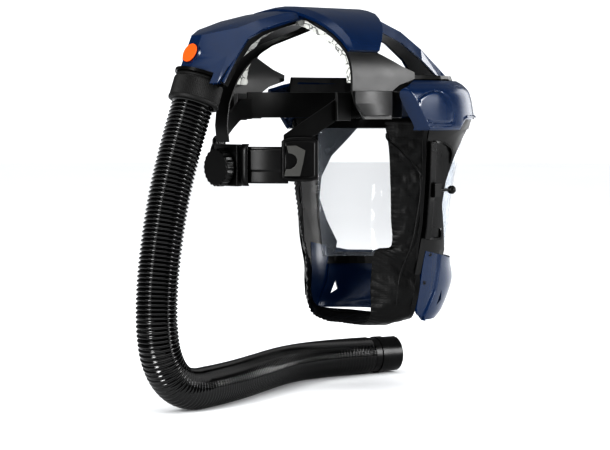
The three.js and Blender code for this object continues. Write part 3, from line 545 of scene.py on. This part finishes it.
def eased(value, low, high):
    """A smooth step from 0 to 1 between two limits."""
    t = clamp((value - low) / (high - low))
    return t * t * (3 - 2 * t)


def to_line(place, line):
    """The distance of a place from a run of points on the same flat."""
    nearest = 1e9
    for start, end in zip(line, line[1:]):
        way = end - start
        share = clamp((place - start).dot(way) / way.length_squared)
        nearest = min(nearest, (place - start - way * share).length)
    return nearest


# %% [markdown]
# ## The brow
#
# The brow is a polished navy moulding with a rounded roof, a sharp lower lip and, on each side, a cover
# panel that is set in flush: a groove runs round its top and rear, two fine lines run under it, and a soft
# crease closes it at the front. The lines are let in by moving the grid's own points, which stand 1.3 mm
# apart at the panel, so the grooves have soft flanks. In front, where the brow turns towards the light, they
# stand closer.
#
# A row of the table says at which row of the grid it holds, and gives the height, the half width, the reach
# to the front and the reach to the rear, each as a share.

# %% The brow's surface
BROW_HALF = 108
BROW_FRONT = 179
BROW_REAR = 12
BROW_SHOULDER = 60
BROW_LEG = 0.22
BROW_LOW, BROW_TOP = 35, 84
LIP_LIFT = 12
LIP_START, LIP_RAMP = 0.56, 10
BROW_ROWS = ((0, 0, 0.985, 0.995, 0.118), (1, 0.12, 1, 1, 0.105), (2, 0.7, 1, 0.955, 0),
             (3, 0.9, 0.92, 0.93, 0.1), (4, 1, 0.83, 0.9, 0.19))
COVER_WALL = 3
# This share of the columns is laid on this share of the way round, in front.
FRONT_COLUMNS, FRONT_SHARE = 0.42, 0.3


def brow_place(u, row):
    """Forward, side and up of the brow's outside, in mm."""
    height, half, front, rear = (read(BROW_ROWS, row, column) for column in (1, 2, 3, 4))
    forward, side = horseshoe(u, BROW_REAR + rear * BROW_FRONT, BROW_SHOULDER, BROW_FRONT * front,
                              BROW_HALF * half, BROW_LEG)
    ahead = clamp((forward - BROW_FRONT * LIP_START) / LIP_RAMP)
    lip = ahead * LIP_LIFT * (1 - clamp(row / 2))
    return forward, side, BROW_LOW + (BROW_TOP - BROW_LOW) * height + lip


GROOVE = flat((33.2, 60.9), (35.4, 61.6), (36, 65.9), (46.3, 70.9), (58.8, 73.5), (68, 71.5))
CREASE = flat((68, 71.5), (79.8, 61.8), (85.5, 52.5), (84.5, 44.5))
LOWER_GROOVE = flat((84.5, 44.5), (80.4, 42.4), (56, 42), (50.5, 43.2), (47.5, 45.6), (46, 44.6))
SECOND_LINE = flat((82, 39.5), (54, 38.8), (47.5, 41.2), (45, 44.6))
# Each line of the panel has its width and its depth.
PANEL_LINES = ((GROOVE, 0.7, 1.3), (LOWER_GROOVE, 0.6, 0.8), (SECOND_LINE, 0.6, 0.4), (CREASE, 3.5, 0.5))
REAR_EDGE = flat((45, 44.6), (33.2, 60.9))
REAR_STEP, REAR_SOFT = 0.3, 0.5
REAR_SLOPE, REAR_SHIFT = 0.75, 0.5


def cut(distance, width, depth):
    """The depth of a groove with soft flanks at a distance from its middle, in mm."""
    return depth * math.exp(-(distance / width) ** 2)


def brow_point(across, along):
    """A point of the brow, with the panel's lines let in and its rear corner bevelled."""
    turn = 2 * across - 1
    reach = abs(turn)
    if reach < FRONT_COLUMNS:
        reach = reach / FRONT_COLUMNS * FRONT_SHARE
    else:
        reach = FRONT_SHARE + (reach - FRONT_COLUMNS) / (1 - FRONT_COLUMNS) * (1 - FRONT_SHARE)
    forward, side, up = brow_place(math.copysign(reach, turn), (len(BROW_ROWS) - 1) * along)
    spot = Vector((forward, up))
    sunk = sum(cut(to_line(spot, line), width, depth) for line, width, depth in PANEL_LINES)
    edge = REAR_EDGE[1] - REAR_EDGE[0]
    behind = (REAR_EDGE[0] - spot).cross(edge) / edge.length
    if forward < BROW_SHOULDER:
        sunk += REAR_STEP * eased(behind, -REAR_SOFT, REAR_SOFT) + REAR_SLOPE * max(0.0, behind)
        forward += REAR_SHIFT * max(0.0, behind)
    return at(forward, side - math.copysign(sunk, side), up)


# %% The brow
brow_mesh = bent(brow_point, 420, 84)
brow = piece("brow_shell", brow_mesh, navy_abs, "blue_plastic",
             "brow_cover", "side_panel_right", "side_panel_left")
walled(brow, COVER_WALL, -1)
rounded(brow, 0.9, angle=50)
print("brow faces:", len(brow.data.polygons))

# %% [markdown]
# ## The visor's frame and sheet
#
# The clear sheet is the same surface as its black nylon frame, three millimetres further in. It is laid out
# finely, because a mirror-smooth sheet shows every facet as a broken highlight.

# %% The visor
FRAME_HALF = 97
FRAME_FRONT = 176
FRAME_REAR = 58
FRAME_SHOULDER = 72
FRAME_LEG = 0.14
FRAME_LOW, FRAME_TALL = -108, 154
# Height, half width, reach to the front, reach to the rear, each as a share.
FRAME_ROWS = ((0, 0.86, 0.8, 0.02), (0.15, 0.9, 0.8, 0.01), (0.3, 0.94, 0.815, 0), (0.45, 0.965, 0.83, 0),
              (0.6, 0.985, 0.86, 0), (0.74, 0.995, 0.91, 0), (0.87, 1, 0.955, 0), (0.93, 1.025, 0.975, 0),
              (1, 1.072, 0.985, 0))
LENS_INSET = 3.2
LENS_WALL = 1.5
LENS_TURN = 0.8
LENS_LOW, LENS_HIGH = -100, 35


def frame_point(u, height, inset=0.0):
    """A point of the visor frame's outside, or of a surface that many mm inside it."""
    half, front, rear = (read(FRAME_ROWS, height, column) for column in (1, 2, 3))
    forward, side = horseshoe(u, FRAME_REAR - rear * FRAME_FRONT, FRAME_SHOULDER,
                              FRAME_FRONT * front - inset, FRAME_HALF * half - inset, FRAME_LEG)
    return at(forward, side, FRAME_LOW + FRAME_TALL * height)


def lens_point(across, along):
    """A point of the clear sheet."""
    up = LENS_LOW + (LENS_HIGH - LENS_LOW) * along
    return frame_point(2 * LENS_TURN * across - LENS_TURN, (up - FRAME_LOW) / FRAME_TALL, LENS_INSET)


lens_mesh = bent(lens_point, 96, 48)
lens_sheet = piece("clear_visor", lens_mesh, clear_sheet, "clear_visor", "visor_lens", smooth=60)
walled(lens_sheet, LENS_WALL, -1)
print("visor faces:", len(lens_sheet.data.polygons))

# %% [markdown]
# ## The chin
#
# The chin is a second navy moulding under the visor. A step runs down each side of it, behind which it is
# a little deeper, and a three-cornered vent opens near the bottom. The vent is cut out of the bent grid
# with three planes, so that its edges are straight, before the wall gets its thickness.
#
# The chin's table is like the brow's, with one more share: how far the grid is lifted in front.

# %% The chin's surface
CHIN_HALF = 90
CHIN_FRONT = 154
CHIN_REAR = 62
CHIN_SHOULDER = 68
CHIN_LEG = 0.1
CHIN_LOW, CHIN_TOP = -154, -84
CHIN_ROWS = ((0, 0, 0.9, 0.8, 0.048, 0), (1, 0.14, 0.925, 0.89, -0.015, 0), (2, 0.5, 0.95, 1, 0, 0),
             (3, 0.8, 0.975, 0.965, 0.01, -0.02), (4, 1, 1, 0.945, 0.02, -0.14))
LIFT_RAMP = 0.3
STEP_LINE = flat((80.8, -80), (85.5, -88), (86.5, -102), (82.4, -124.7), (67, -152))
STEP_DEPTH, STEP_SOFT = 2.2, 2.6


def chin_point(across, along):
    """A point of the chin's outside, with the step let in at its rear."""
    row = (len(CHIN_ROWS) - 1) * along
    height, half, front, rear, lift = (read(CHIN_ROWS, row, column) for column in (1, 2, 3, 4, 5))
    forward, side = horseshoe(2 * across - 1, CHIN_REAR + rear * CHIN_FRONT, CHIN_SHOULDER,
                              CHIN_FRONT * front, CHIN_HALF * half, CHIN_LEG)
    ahead = clamp((forward - CHIN_REAR) / (CHIN_FRONT * LIFT_RAMP))
    up = CHIN_LOW + (CHIN_TOP - CHIN_LOW) * (height + lift * ahead)
    for start, end in zip(STEP_LINE, STEP_LINE[1:]):
        if end.y <= up <= start.y:
            front_of_step = start.x + (end.x - start.x) * (up - start.y) / (end.y - start.y)
            side -= math.copysign(STEP_DEPTH * eased(front_of_step - forward, -STEP_SOFT, STEP_SOFT), side)
    return at(forward, side, up)


# %% The vents and the chin
VENT = ((87, -140.5), (96, -135.3), (94.6, -125.5))
VENT_REACH = 16
VENT_OUT = 30
chin_mesh = bent(chin_point, 220, 56)


def near_vent(way, middle):
    """The chin's faces about one vent: way is 1 on the wearer's right and -1 on the left."""
    spots = [(face, face.calc_center_median()) for face in chin_mesh.faces]
    return [face for face, spot in spots
            if spot.x * way < -VENT_OUT * MM and (spot - middle).yz.length < VENT_REACH * MM]


for way, side_name in SIDES:
    corners = [at(forward, 0, up) for forward, up in VENT]
    middle = sum(corners, Vector()) / 3
    borders = list(zip(corners, corners[1:] + corners[:1]))
    for start, end in borders:
        near = near_vent(way, middle)
        parts = near + [edge for face in near for edge in face.edges]
        parts += [point for face in near for point in face.verts]
        bmesh.ops.bisect_plane(chin_mesh, geom=list(dict.fromkeys(parts)), dist=1e-7, plane_co=start,
                               plane_no=(end - start).cross(Vector((1, 0, 0))).normalized())
    opened = []
    for face in near_vent(way, middle):
        spot = face.calc_center_median()
        turns = [(end - start).cross(spot - start).x for start, end in borders]
        if min(turns) > 0 or max(turns) < 0:
            opened.append(face)
    bmesh.ops.delete(chin_mesh, geom=opened, context="FACES")
    print("faces cut out of the", side_name, "vent:", len(opened))
chin = piece("chin_shell", chin_mesh, navy_abs, "blue_plastic", "chin_cover")
walled(chin, COVER_WALL, -1)
rounded(chin, 0.7, angle=55)

# %% [markdown]
# ## The cloth seal
#
# The seal is one piece of coated nylon cloth, sewn to the frame's rim and gathered on an elastic at its
# free edge. It puffs out between the two, in long folds and in short puckers along the elastic. They are
# laid in with noise that is the same on each run, and no cloth simulation is run.
#
# A row of the table says where it stands on the way from the brow to under the chin, and gives forward, side
# and up of the rim and then of the elastic, each as a share.

# %% The seal's surface
SEAL_LOW, SEAL_TALL = -155, 199
SEAL_ROWS = (
    (0, 1, 1, 1, 0.46, 0.9, 1), (0.1, 1, 1, 0.86, 0.5, 0.95, 0.87), (0.22, 1, 1, 0.7, 0.54, 0.95, 0.7),
    (0.36, 1, 1, 0.5, 0.6, 0.915, 0.52), (0.48, 1, 1, 0.36, 0.66, 0.87, 0.38),
    (0.58, 1.16, 0.995, 0.22, 0.5, 0.69, 0.35), (0.68, 1.12, 0.975, 0.1, 0.48, 0.63, 0.19),
    (0.78, 1.15, 0.86, 0.02, 0.5, 0.6, 0.03), (0.89, 1.5, 0.45, 0.005, 0.56, 0.36, -0.02),
    (1, 1.65, 0, 0, 0.58, 0, -0.025))
SEAL_EDGE_HALF = 76
HALF_GIRTH = 300
SEAL_REACH = 0.9
SEAL_WALL = 0.8
RIM_BEHIND, RIM_INSIDE = 0.6, 1
PUFF = 5
PUFF_SIDE, PUFF_JAW = 0.4, 0.4
JAW, UNDER_CHIN = (0.44, 0.56), (0.74, 0.86)
SLOPE_STEP = 0.004
PUCKER, PUCKER_PITCH, PUCKER_STRAY, PUCKER_FADE = 0.9, 6.2, 0.6, 7
FOLD, FOLD_PITCH, FOLD_LEAN, FOLD_RISE = 3.2, 19, 1.4, 0.9
CRUMPLE, CRUMPLE_PITCH, CRUMPLE_RISE = 1.0, 7, 5
# The puckers, the folds and the crumples each read a slice of the noise of their own.
PUCKER_SLICE, FOLD_SLICE, CRUMPLE_SLICE = 4, 3.1, 7.7


def seal_place(u, v):
    """A place on the smooth seal in metres: u runs round the face, v from the elastic to the rim."""
    way = 1 - abs(u)
    rim_forward, rim_side, rim_up, edge_forward, edge_side, edge_up = (
        read(SEAL_ROWS, way, column) for column in range(1, 7))
    puff = PUFF * math.sin(math.pi * clamp(v)) * (PUFF_SIDE + PUFF_JAW * eased(way, *JAW))
    below = eased(way, *UNDER_CHIN)
    height = clamp((SEAL_LOW + SEAL_TALL * rim_up - FRAME_LOW) / FRAME_TALL)
    rim_rear = FRAME_REAR - read(FRAME_ROWS, height, 3) * FRAME_FRONT - RIM_BEHIND
    rim_half = (FRAME_HALF - RIM_INSIDE) * read(FRAME_ROWS, height, 1)
    forward = edge_forward * FRAME_REAR * (1 - v) + rim_forward * rim_rear * v
    side = edge_side * SEAL_EDGE_HALF * (1 - v) + rim_side * rim_half * v + puff * (1 - below)
    up = SEAL_LOW + SEAL_TALL * (edge_up * (1 - v) + rim_up * v) - puff * below
    return at(forward, -math.copysign(side, u), up)


def seal_point(across, along):
    """A point of the gathered cloth."""
    u = clamp(2 * across - 1, -0.999, 0.999)
    v = along * SEAL_REACH
    place = seal_place(u, v)
    round_way = seal_place(min(u + SLOPE_STEP, 1), v) - seal_place(max(u - SLOPE_STEP, -1), v)
    rim_way = seal_place(u, v + SLOPE_STEP) - seal_place(u, v - SLOPE_STEP)
    out = rim_way.cross(round_way)
    if out.length < 1e-12:
        return place
    out.normalize()
    run = u * HALF_GIRTH
    inside = math.sin(math.pi * clamp(v * 0.98)) ** 0.7
    stray = PUCKER_STRAY * noise.noise(Vector((run / FOLD_PITCH, 0, PUCKER_SLICE)))
    pucker = PUCKER * math.sin(math.tau * (run / PUCKER_PITCH + stray)) * math.exp(-v * PUCKER_FADE)
    fold = FOLD * noise.noise(Vector((run / FOLD_PITCH + FOLD_LEAN * v, v * FOLD_RISE, FOLD_SLICE))) * inside
    crumple = CRUMPLE * noise.noise(Vector((run / CRUMPLE_PITCH, v * CRUMPLE_RISE, CRUMPLE_SLICE))) * inside
    return place + out * (pucker + fold + crumple) * MM


# %% The seal
seal_mesh = bent(seal_point, 330, 44)
cloth_area = sum(face.calc_area() for face in seal_mesh.faces)
middle_line = [seal_place(i / 100 - 1, 0.5) for i in range(201)]
seal_piece = piece("cloth_seal", seal_mesh, cloth, "black_cloth", "face_seal", smooth=70)
walled(seal_piece, SEAL_WALL, 0)

# %% [markdown]
# The cloth ends in a moulded rim that clips to the frame, and a welded seam runs over the cloth from the
# brow's rear corner down to the chin. Its two raised edges catch the light as a double line. Both are strips
# on the same surface: the rim is a band of it, the seam a row of places that are lifted onto it.

# %% The seal's rim and seam
RIM_TURN = 0.985
RIM_START, RIM_WIDTH, RIM_WALL = 0.87, 0.13, 2.4


def rim_point(across, along):
    """A point of the rim band, from the cloth's end to the frame."""
    return seal_place(2 * RIM_TURN * across - RIM_TURN, RIM_START + RIM_WIDTH * along)


rim = piece("seal_edge", bent(rim_point, 240, 3), black_nylon, "gloss_black", "seal_rim", smooth=60)
walled(rim, RIM_WALL, 0)
rounded(rim, 0.6, angle=50)

SEAM = ((26.6, 32), (28, 25.8), (37.5, 13.9), (50, -4), (52.5, -12), (53.5, -28.6), (52.5, -48),
        (50.1, -77.7), (46.5, -105), (44.8, -121.8), (44.2, -138))
SEAM_WIDTH = 3.2
SEAM_HEIGHT = 0.9
SEAM_OUT = 1
# Each place of the profile is a share of the seam's width and a share of its height.
SEAM_PROFILE = ((0, 0), (0.1, 0.9), (0.22, 1), (0.36, 0.45), (0.64, 0.45), (0.78, 1), (0.9, 0.9), (1, 0),
                (0.5, -0.6), (0, 0))
OUTWARD = Vector((0, 1, 0))
seal_spots = [seal_place(-i / 240, j / 40) / MM for i in range(1, 240) for j in range(41)]


def on_seal(forward, up):
    """The seal's side place at a place forward and up, from the nearest of many spots on it."""
    nearest = sorted(seal_spots, key=lambda spot: (spot.y + forward) ** 2 + (spot.z - up) ** 2)[:4]
    return -sum(spot.x for spot in nearest) / 4


seam_line = [Vector((forward, on_seal(forward, up), up)) for forward, up in SEAM]


def seam_point(across, along, way):
    """A point of the welded seam with its two raised edges."""
    centre = through(seam_line, along)
    ahead = (through(seam_line, along + SLOPE_STEP) - through(seam_line, along - SLOPE_STEP)).normalized()
    wide = ahead.cross(OUTWARD).normalized()
    share, height = SEAM_PROFILE[round(across * (len(SEAM_PROFILE) - 1))]
    spot = centre + wide * (share - 0.5) * SEAM_WIDTH + OUTWARD * (SEAM_OUT + height * SEAM_HEIGHT)
    return at(spot.x, spot.y * way, spot.z)


for way, side_name in SIDES:
    seam_mesh = tube(lambda across, along: seam_point(across, along, way), len(SEAM_PROFILE) - 1, 110)
    piece("seal_seam_" + side_name, seam_mesh, band_plastic, "gloss_black", smooth=50)

# %% [markdown]
# ## The harness
#
# The wearer tightens the harness with a ratchet at the nape. Its rear bands slide through a keeper on each
# side and end under a side plate with a grey hook. All of it lies on one oval, so a place on it is an angle,
# a height and a distance out from the oval. The bands have a raised middle, the plates a raised border, and
# both are heights laid on a grid.

# %% The harness oval
OVAL_CENTRE, OVAL_LONG, OVAL_HALF = -12, 103, 79
BAND_LOW, BAND_HIGH = -15, 20
BAND_START, BAND_END = 167.5, 136
# The raised middle of a band begins and ends on a slope between two heights.
BAND_RAISED, LOWER_SLOPE, UPPER_SLOPE = 0.9, (-3.6, -2.4), (16.6, 17.8)
BAND_EDGE, EDGE_SHARE = 0.4, 0.03
BAND_WALL = 1.8
PLATE_START, PLATE_END = 140, 118.5
PLATE_MIDDLE, PLATE_SPREAD = 129.3, 10.8
PLATE_LOW, PLATE_HIGH = -13.2, 29.4
CORNER_LOW, CORNER_HIGH = 3.4, 4.4
PLATE_OUT, PLATE_WALL = 1.9, 1.5
MM_PER_DEGREE = 1.6
BORDER, BORDER_SLOPE = 1.1, (0, 1.2)
FIELD, FIELD_SLOPE = 1.0, (3.2, 4.2)
KEEPER_MIDDLE, KEEPER_SPREAD = 163.4, 2.6
KEEPER_LOW, KEEPER_HIGH = -17.5, 22.5
KEEPER_OUT, KEEPER_ARCH, KEEPER_HALF = 1.9, 3.4, 1.7


def on_oval(degrees, up, out, way=1):
    """A place on the harness: way is 1 on the wearer's right and -1 on the left."""
    angle = math.radians(degrees)
    normal = Vector((math.cos(angle) / OVAL_LONG, math.sin(angle) / OVAL_HALF)).normalized()
    forward = OVAL_CENTRE + OVAL_LONG * math.cos(angle) + normal.x * out
    return at(forward, (OVAL_HALF * math.sin(angle) + normal.y * out) * way, up)


def between(low, high, share):
    """A value at a share of the way between two."""
    return low + (high - low) * share


def nape_band(across, along, way):
    """The rear band, with its middle raised."""
    up = between(BAND_LOW, BAND_HIGH, across)
    raised = BAND_RAISED * eased(up, *LOWER_SLOPE) * (1 - eased(up, *UPPER_SLOPE))
    edge = BAND_EDGE * (1 - eased(min(across, 1 - across), 0, EDGE_SHARE))
    return on_oval(between(BAND_START, BAND_END, along), up, raised - edge, way)


def side_plate(across, along, way):
    """The side plate, with rounded corners and a raised border."""
    degrees = between(PLATE_START, PLATE_END, along)
    squeeze = ((degrees - PLATE_MIDDLE) / PLATE_SPREAD) ** 4
    low = PLATE_LOW + CORNER_LOW * squeeze
    high = PLATE_HIGH - CORNER_HIGH * squeeze
    from_edge = min(across * (high - low), (1 - across) * (high - low),
                    (degrees - PLATE_END) * MM_PER_DEGREE, (PLATE_START - degrees) * MM_PER_DEGREE)
    border = BORDER * eased(from_edge, *BORDER_SLOPE) - FIELD * eased(from_edge, *FIELD_SLOPE)
    return on_oval(degrees, between(low, high, across), PLATE_OUT + border, way)


def keeper(across, along, way):
    """The keeper, a rounded bar that bridges the band."""
    turn = math.tau * across
    up = between(KEEPER_LOW, KEEPER_HIGH, along)
    lift = KEEPER_ARCH * (1 - abs(2 * along - 1) ** 6)
    degrees = KEEPER_MIDDLE + KEEPER_SPREAD * math.cos(turn)
    return on_oval(degrees, up, KEEPER_OUT + lift + KEEPER_HALF * math.sin(turn), way)


# %% [markdown]
# The hook is a grey plate with a round notch at its rear. It starts as a ring of edges whose corners are laid
# on the oval. The ring is filled with triangles, which get a wall inwards, and the edges are rounded.

# %% Outlined plates
HOOK = ((137, 21), (131.6, 21.2), (126.4, 16.6), (127.4, 6.6), (129.4, -8), (138.4, -8), (137.4, -1.2),
        (134.6, -1), (132.4, 1.4), (131.2, 4.6), (131, 8), (131.9, 11.2), (133.7, 13.2), (136, 13.9))
HOOK_OUT, HOOK_WALL = 4.6, 1.5


def outlined(corners, outward):
    """A face on the oval whose normal points outwards, split into triangles."""
    mesh = bmesh.new()
    points = [mesh.verts.new(corner) for corner in corners]
    edges = [mesh.edges.new(pair) for pair in zip(points, points[1:] + points[:1])]
    bmesh.ops.triangle_fill(mesh, edges=edges, use_beauty=True)
    mesh.normal_update()
    if sum((face.normal * face.calc_area() for face in mesh.faces), Vector()).dot(outward) < 0:
        bmesh.ops.reverse_faces(mesh, faces=mesh.faces)
    return mesh


# %% The harness pieces
for way, side_name in SIDES:
    nape_mesh = bent(lambda across, along: nape_band(across, along, way), 60, 40, flip=way < 0)
    nape = piece("nape_band_" + side_name, nape_mesh, band_plastic, "band_plastic",
                 "rear_band_" + side_name)
    walled(nape, BAND_WALL, 1)
    plate_mesh = bent(lambda across, along: side_plate(across, along, way), 64, 48, flip=way < 0)
    plate = piece("band_plate_" + side_name, plate_mesh, band_plastic, "band_plastic",
                  "side_plate_" + side_name)
    walled(plate, PLATE_WALL, 1)
    corners = [on_oval(degrees, up, HOOK_OUT, way) for degrees, up in HOOK]
    hook_mesh = outlined(corners, Vector((-way, 0, 0)))
    hook = piece("size_hook_" + side_name, hook_mesh, grey_nylon, "grey_plastic", "hook_plate_" + side_name)
    walled(hook, HOOK_WALL, -1)
    rounded(hook, 0.35, angle=40)
    keeper_mesh = tube(lambda across, along: keeper(across, along, way), 14, 28)
    piece("band_keeper_" + side_name, keeper_mesh, band_plastic, "band_plastic", smooth=60)

# %% [markdown]
# ## Ledges on the frame
#
# On each side of the frame two ledges run forward from the rod, one under the brow and one above the chin,
# and frame a shallow field between them. A ledge is a square rod that is led over the frame's surface.

# %% The ledges
UPPER_LEDGE = flat((66, 24), (75, 22.8), (82, 21.5), (91, 17.8), (94.5, 12), (93.5, 2))
LOWER_LEDGE = flat((64, -72), (72, -72.5), (79, -73), (84, -72.5), (84.5, -68), (82.5, -62))
LEDGE_HALF = 1.1
LEDGE_OUT, LEDGE_THICK, LEDGE_SINK = 0.6, 1.3, 1.6
LEDGE_STEP = 0.01
# A circle that is this much too wide, cut off at its limits, is a square with corners.
SQUARED = 1.42


def frame_side(forward, up):
    """How far out the frame's surface is at a place forward and up."""
    height = (up - FRAME_LOW) / FRAME_TALL
    half, front = FRAME_HALF * read(FRAME_ROWS, height, 1), FRAME_FRONT * read(FRAME_ROWS, height, 2)
    return half * math.sqrt(1 - clamp((forward - FRAME_SHOULDER) / (front - FRAME_SHOULDER)) ** 2)


def ledge_point(line, across, along, way):
    """A point of a square rod on the frame, whose ends sink in."""
    centre = through(line, along)
    ahead = through(line, along + LEDGE_STEP) - through(line, along - LEDGE_STEP)
    wide = Vector((-ahead.y, ahead.x)).normalized()
    turn = math.tau * (across + 1 / 8)
    spot = centre + wide * clamp(SQUARED * math.cos(turn), -1, 1) * LEDGE_HALF
    thick = LEDGE_THICK * clamp(SQUARED * math.sin(turn), -1, 1)
    out = LEDGE_OUT + thick - LEDGE_SINK * abs(2 * along - 1) ** 8
    return at(spot.x, (frame_side(centre.x, centre.y) + out) * way, spot.y)


for way, side_name in SIDES:
    for line, ledge_name in ((UPPER_LEDGE, "upper"), (LOWER_LEDGE, "lower")):
        ledge_mesh = tube(lambda across, along: ledge_point(line, across, along, way), 8, 30)
        piece(f"frame_ledge_{ledge_name}_{side_name}", ledge_mesh, black_nylon, "gloss_black", smooth=40)

# %% [markdown]
# ## Screws
#
# Two small screws on each side hold the chin to the frame. Each is a flat head with a rounded edge and a
# dimple, set half into the chin. The side place of each is that of the nearest spot of the chin's surface.

# %% The screws
CHIN_SCREWS = ((71.8, -88.5), (67.3, -116.6))
SCREW_RADIUS = 1.9


def screw(name, place, axis, radius):
    """A countersunk screw head with a dimple, facing along an axis."""
    profile = [(0, 0.05), (radius * 0.35, 0.05), (radius * 0.5, 0.55), (radius * 0.85, 0.5), (radius, 0.2),
               (radius, -0.6), (0, -0.6)]
    mesh = turned(profile, 20, place, axis)
    bmesh.ops.remove_doubles(mesh, verts=mesh.verts, dist=0.005 * MM)
    piece(name, mesh, black_nylon, "black_plastic", smooth=40)


chin_spots = [chin_point(i / 200, j / 50) / MM for i in range(60) for j in range(51)]
for k, (forward, up) in enumerate(CHIN_SCREWS):
    spot = min(chin_spots, key=lambda place: (place.y + forward) ** 2 + (place.z - up) ** 2)
    for way, side_name in SIDES:
        place = at(forward, -spot.x * way, up)
        screw(f"chin_screw_{side_name}_{k}", place, Vector((-way, 0, 0)), SCREW_RADIUS)

# %% [markdown]
# ## The covers and the frame
#
# The construction model has knife-sharp edges. Real mouldings have a radius of half a millimetre or more on
# every edge, which shows as a thin line of light. So each is copied, merged and bevelled, and smooth shading
# hides most of its facets; a few still show at the lower rear of the duct. A name with braces stands for a
# right and a left piece.

# %% Refined mouldings
for node, name, material, slot, edge in (
    ("top_cover", "duct_cover", navy_abs, "blue_plastic", 1.1),
    ("rear_disc", "round_inlay", orange_abs, "orange_plastic", 0.4),
    ("duct_tray", "duct_channel", black_nylon, "black_plastic", 0.5),
    ("arch_frame", "arch_shell", black_abs, "black_plastic", 0.8),
    ("pivot_cover_{}", "pivot_cap_{}", black_abs, "black_plastic", 0.5),
    ("front_strut", "crown_strut", navy_abs, "blue_plastic", 0.9),
    ("strut_underside", "strut_filling", black_abs, "black_plastic", 0.5),
    ("brow_rim", "inner_rim", black_nylon, "black_plastic", 0.7),
    ("visor_frame", "visor_surround", black_nylon, "gloss_black", 0.6),
    ("frame_rod_{}", "side_rod_{}", black_nylon, "gloss_black", 0.8),
    ("ratchet_housing", "ratchet_case", band_plastic, "band_plastic", 1.2),
    ("front_strap_{}", "temple_strap_{}", band_plastic, "band_plastic", 0.5),
    ("strap_clip_{}", "temple_clip_{}", black_abs, "black_plastic", 0.5),
    ("front_headband", "forehead_band", band_plastic, "band_plastic", 0.5),
    ("overhead_strap", "crown_band", band_plastic, "band_plastic", 0.5),
    ("cover_peg_{}", "visor_peg_{}", black_nylon, "black_plastic", 0.4),
    ("ratchet_knob", "ratchet_wheel", band_plastic, "band_plastic", 0.3),
):
    for side_name in ("right", "left") if "{}" in node else ("",):
        refined(node.format(side_name), name.format(side_name), material, slot, edge)
for side_name in ("right", "left"):
    post_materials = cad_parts["pivot_post_" + side_name].data.materials
    post_materials.clear()
    post_materials.append(black_nylon)

# %% [markdown]
# ## The liner
#
# The liner is a soft white foam strip inside the arch, pinched where it is stuck down. Its solid is divided
# finely, longest edges first, and its points are pressed in along the edges of a cell pattern, so that each
# crease is real shape.

# %% The liner
CREASE_DEPTH, CREASE_WIDTH = 1.1, 0.09
SWELL_DEPTH, SWELL_PITCH = 0.5, 13
liner_mesh = bmesh.new()
liner_mesh.from_mesh(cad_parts["arch_liner"].data)
bmesh.ops.remove_doubles(liner_mesh, verts=liner_mesh.verts, dist=MERGE * MM)
for cuts, longest in ((2, 12), (2, 5), (1, 2.4)):
    long_edges = [edge for edge in liner_mesh.edges if edge.calc_length() > longest * MM]
    bmesh.ops.subdivide_edges(liner_mesh, edges=long_edges, cuts=cuts, use_grid_fill=True)
bmesh.ops.triangulate(liner_mesh, faces=liner_mesh.faces)
bmesh.ops.smooth_vert(liner_mesh, verts=liner_mesh.verts, factor=0.5,
                      use_axis_x=True, use_axis_y=True, use_axis_z=True)
liner_mesh.normal_update()
for point in liner_mesh.verts:
    distances = noise.voronoi(point.co / (FOAM_CELL * MM))[0]
    crease = math.exp(-((distances[1] - distances[0]) / CREASE_WIDTH) ** 2)
    swell = noise.noise(point.co / (SWELL_PITCH * MM))
    point.co -= point.normal * (CREASE_DEPTH * crease + SWELL_DEPTH * swell) * MM
liner = piece("white_liner", liner_mesh, foam, "white_foam", "arch_liner", smooth=80)
print("liner faces:", len(liner.data.polygons))
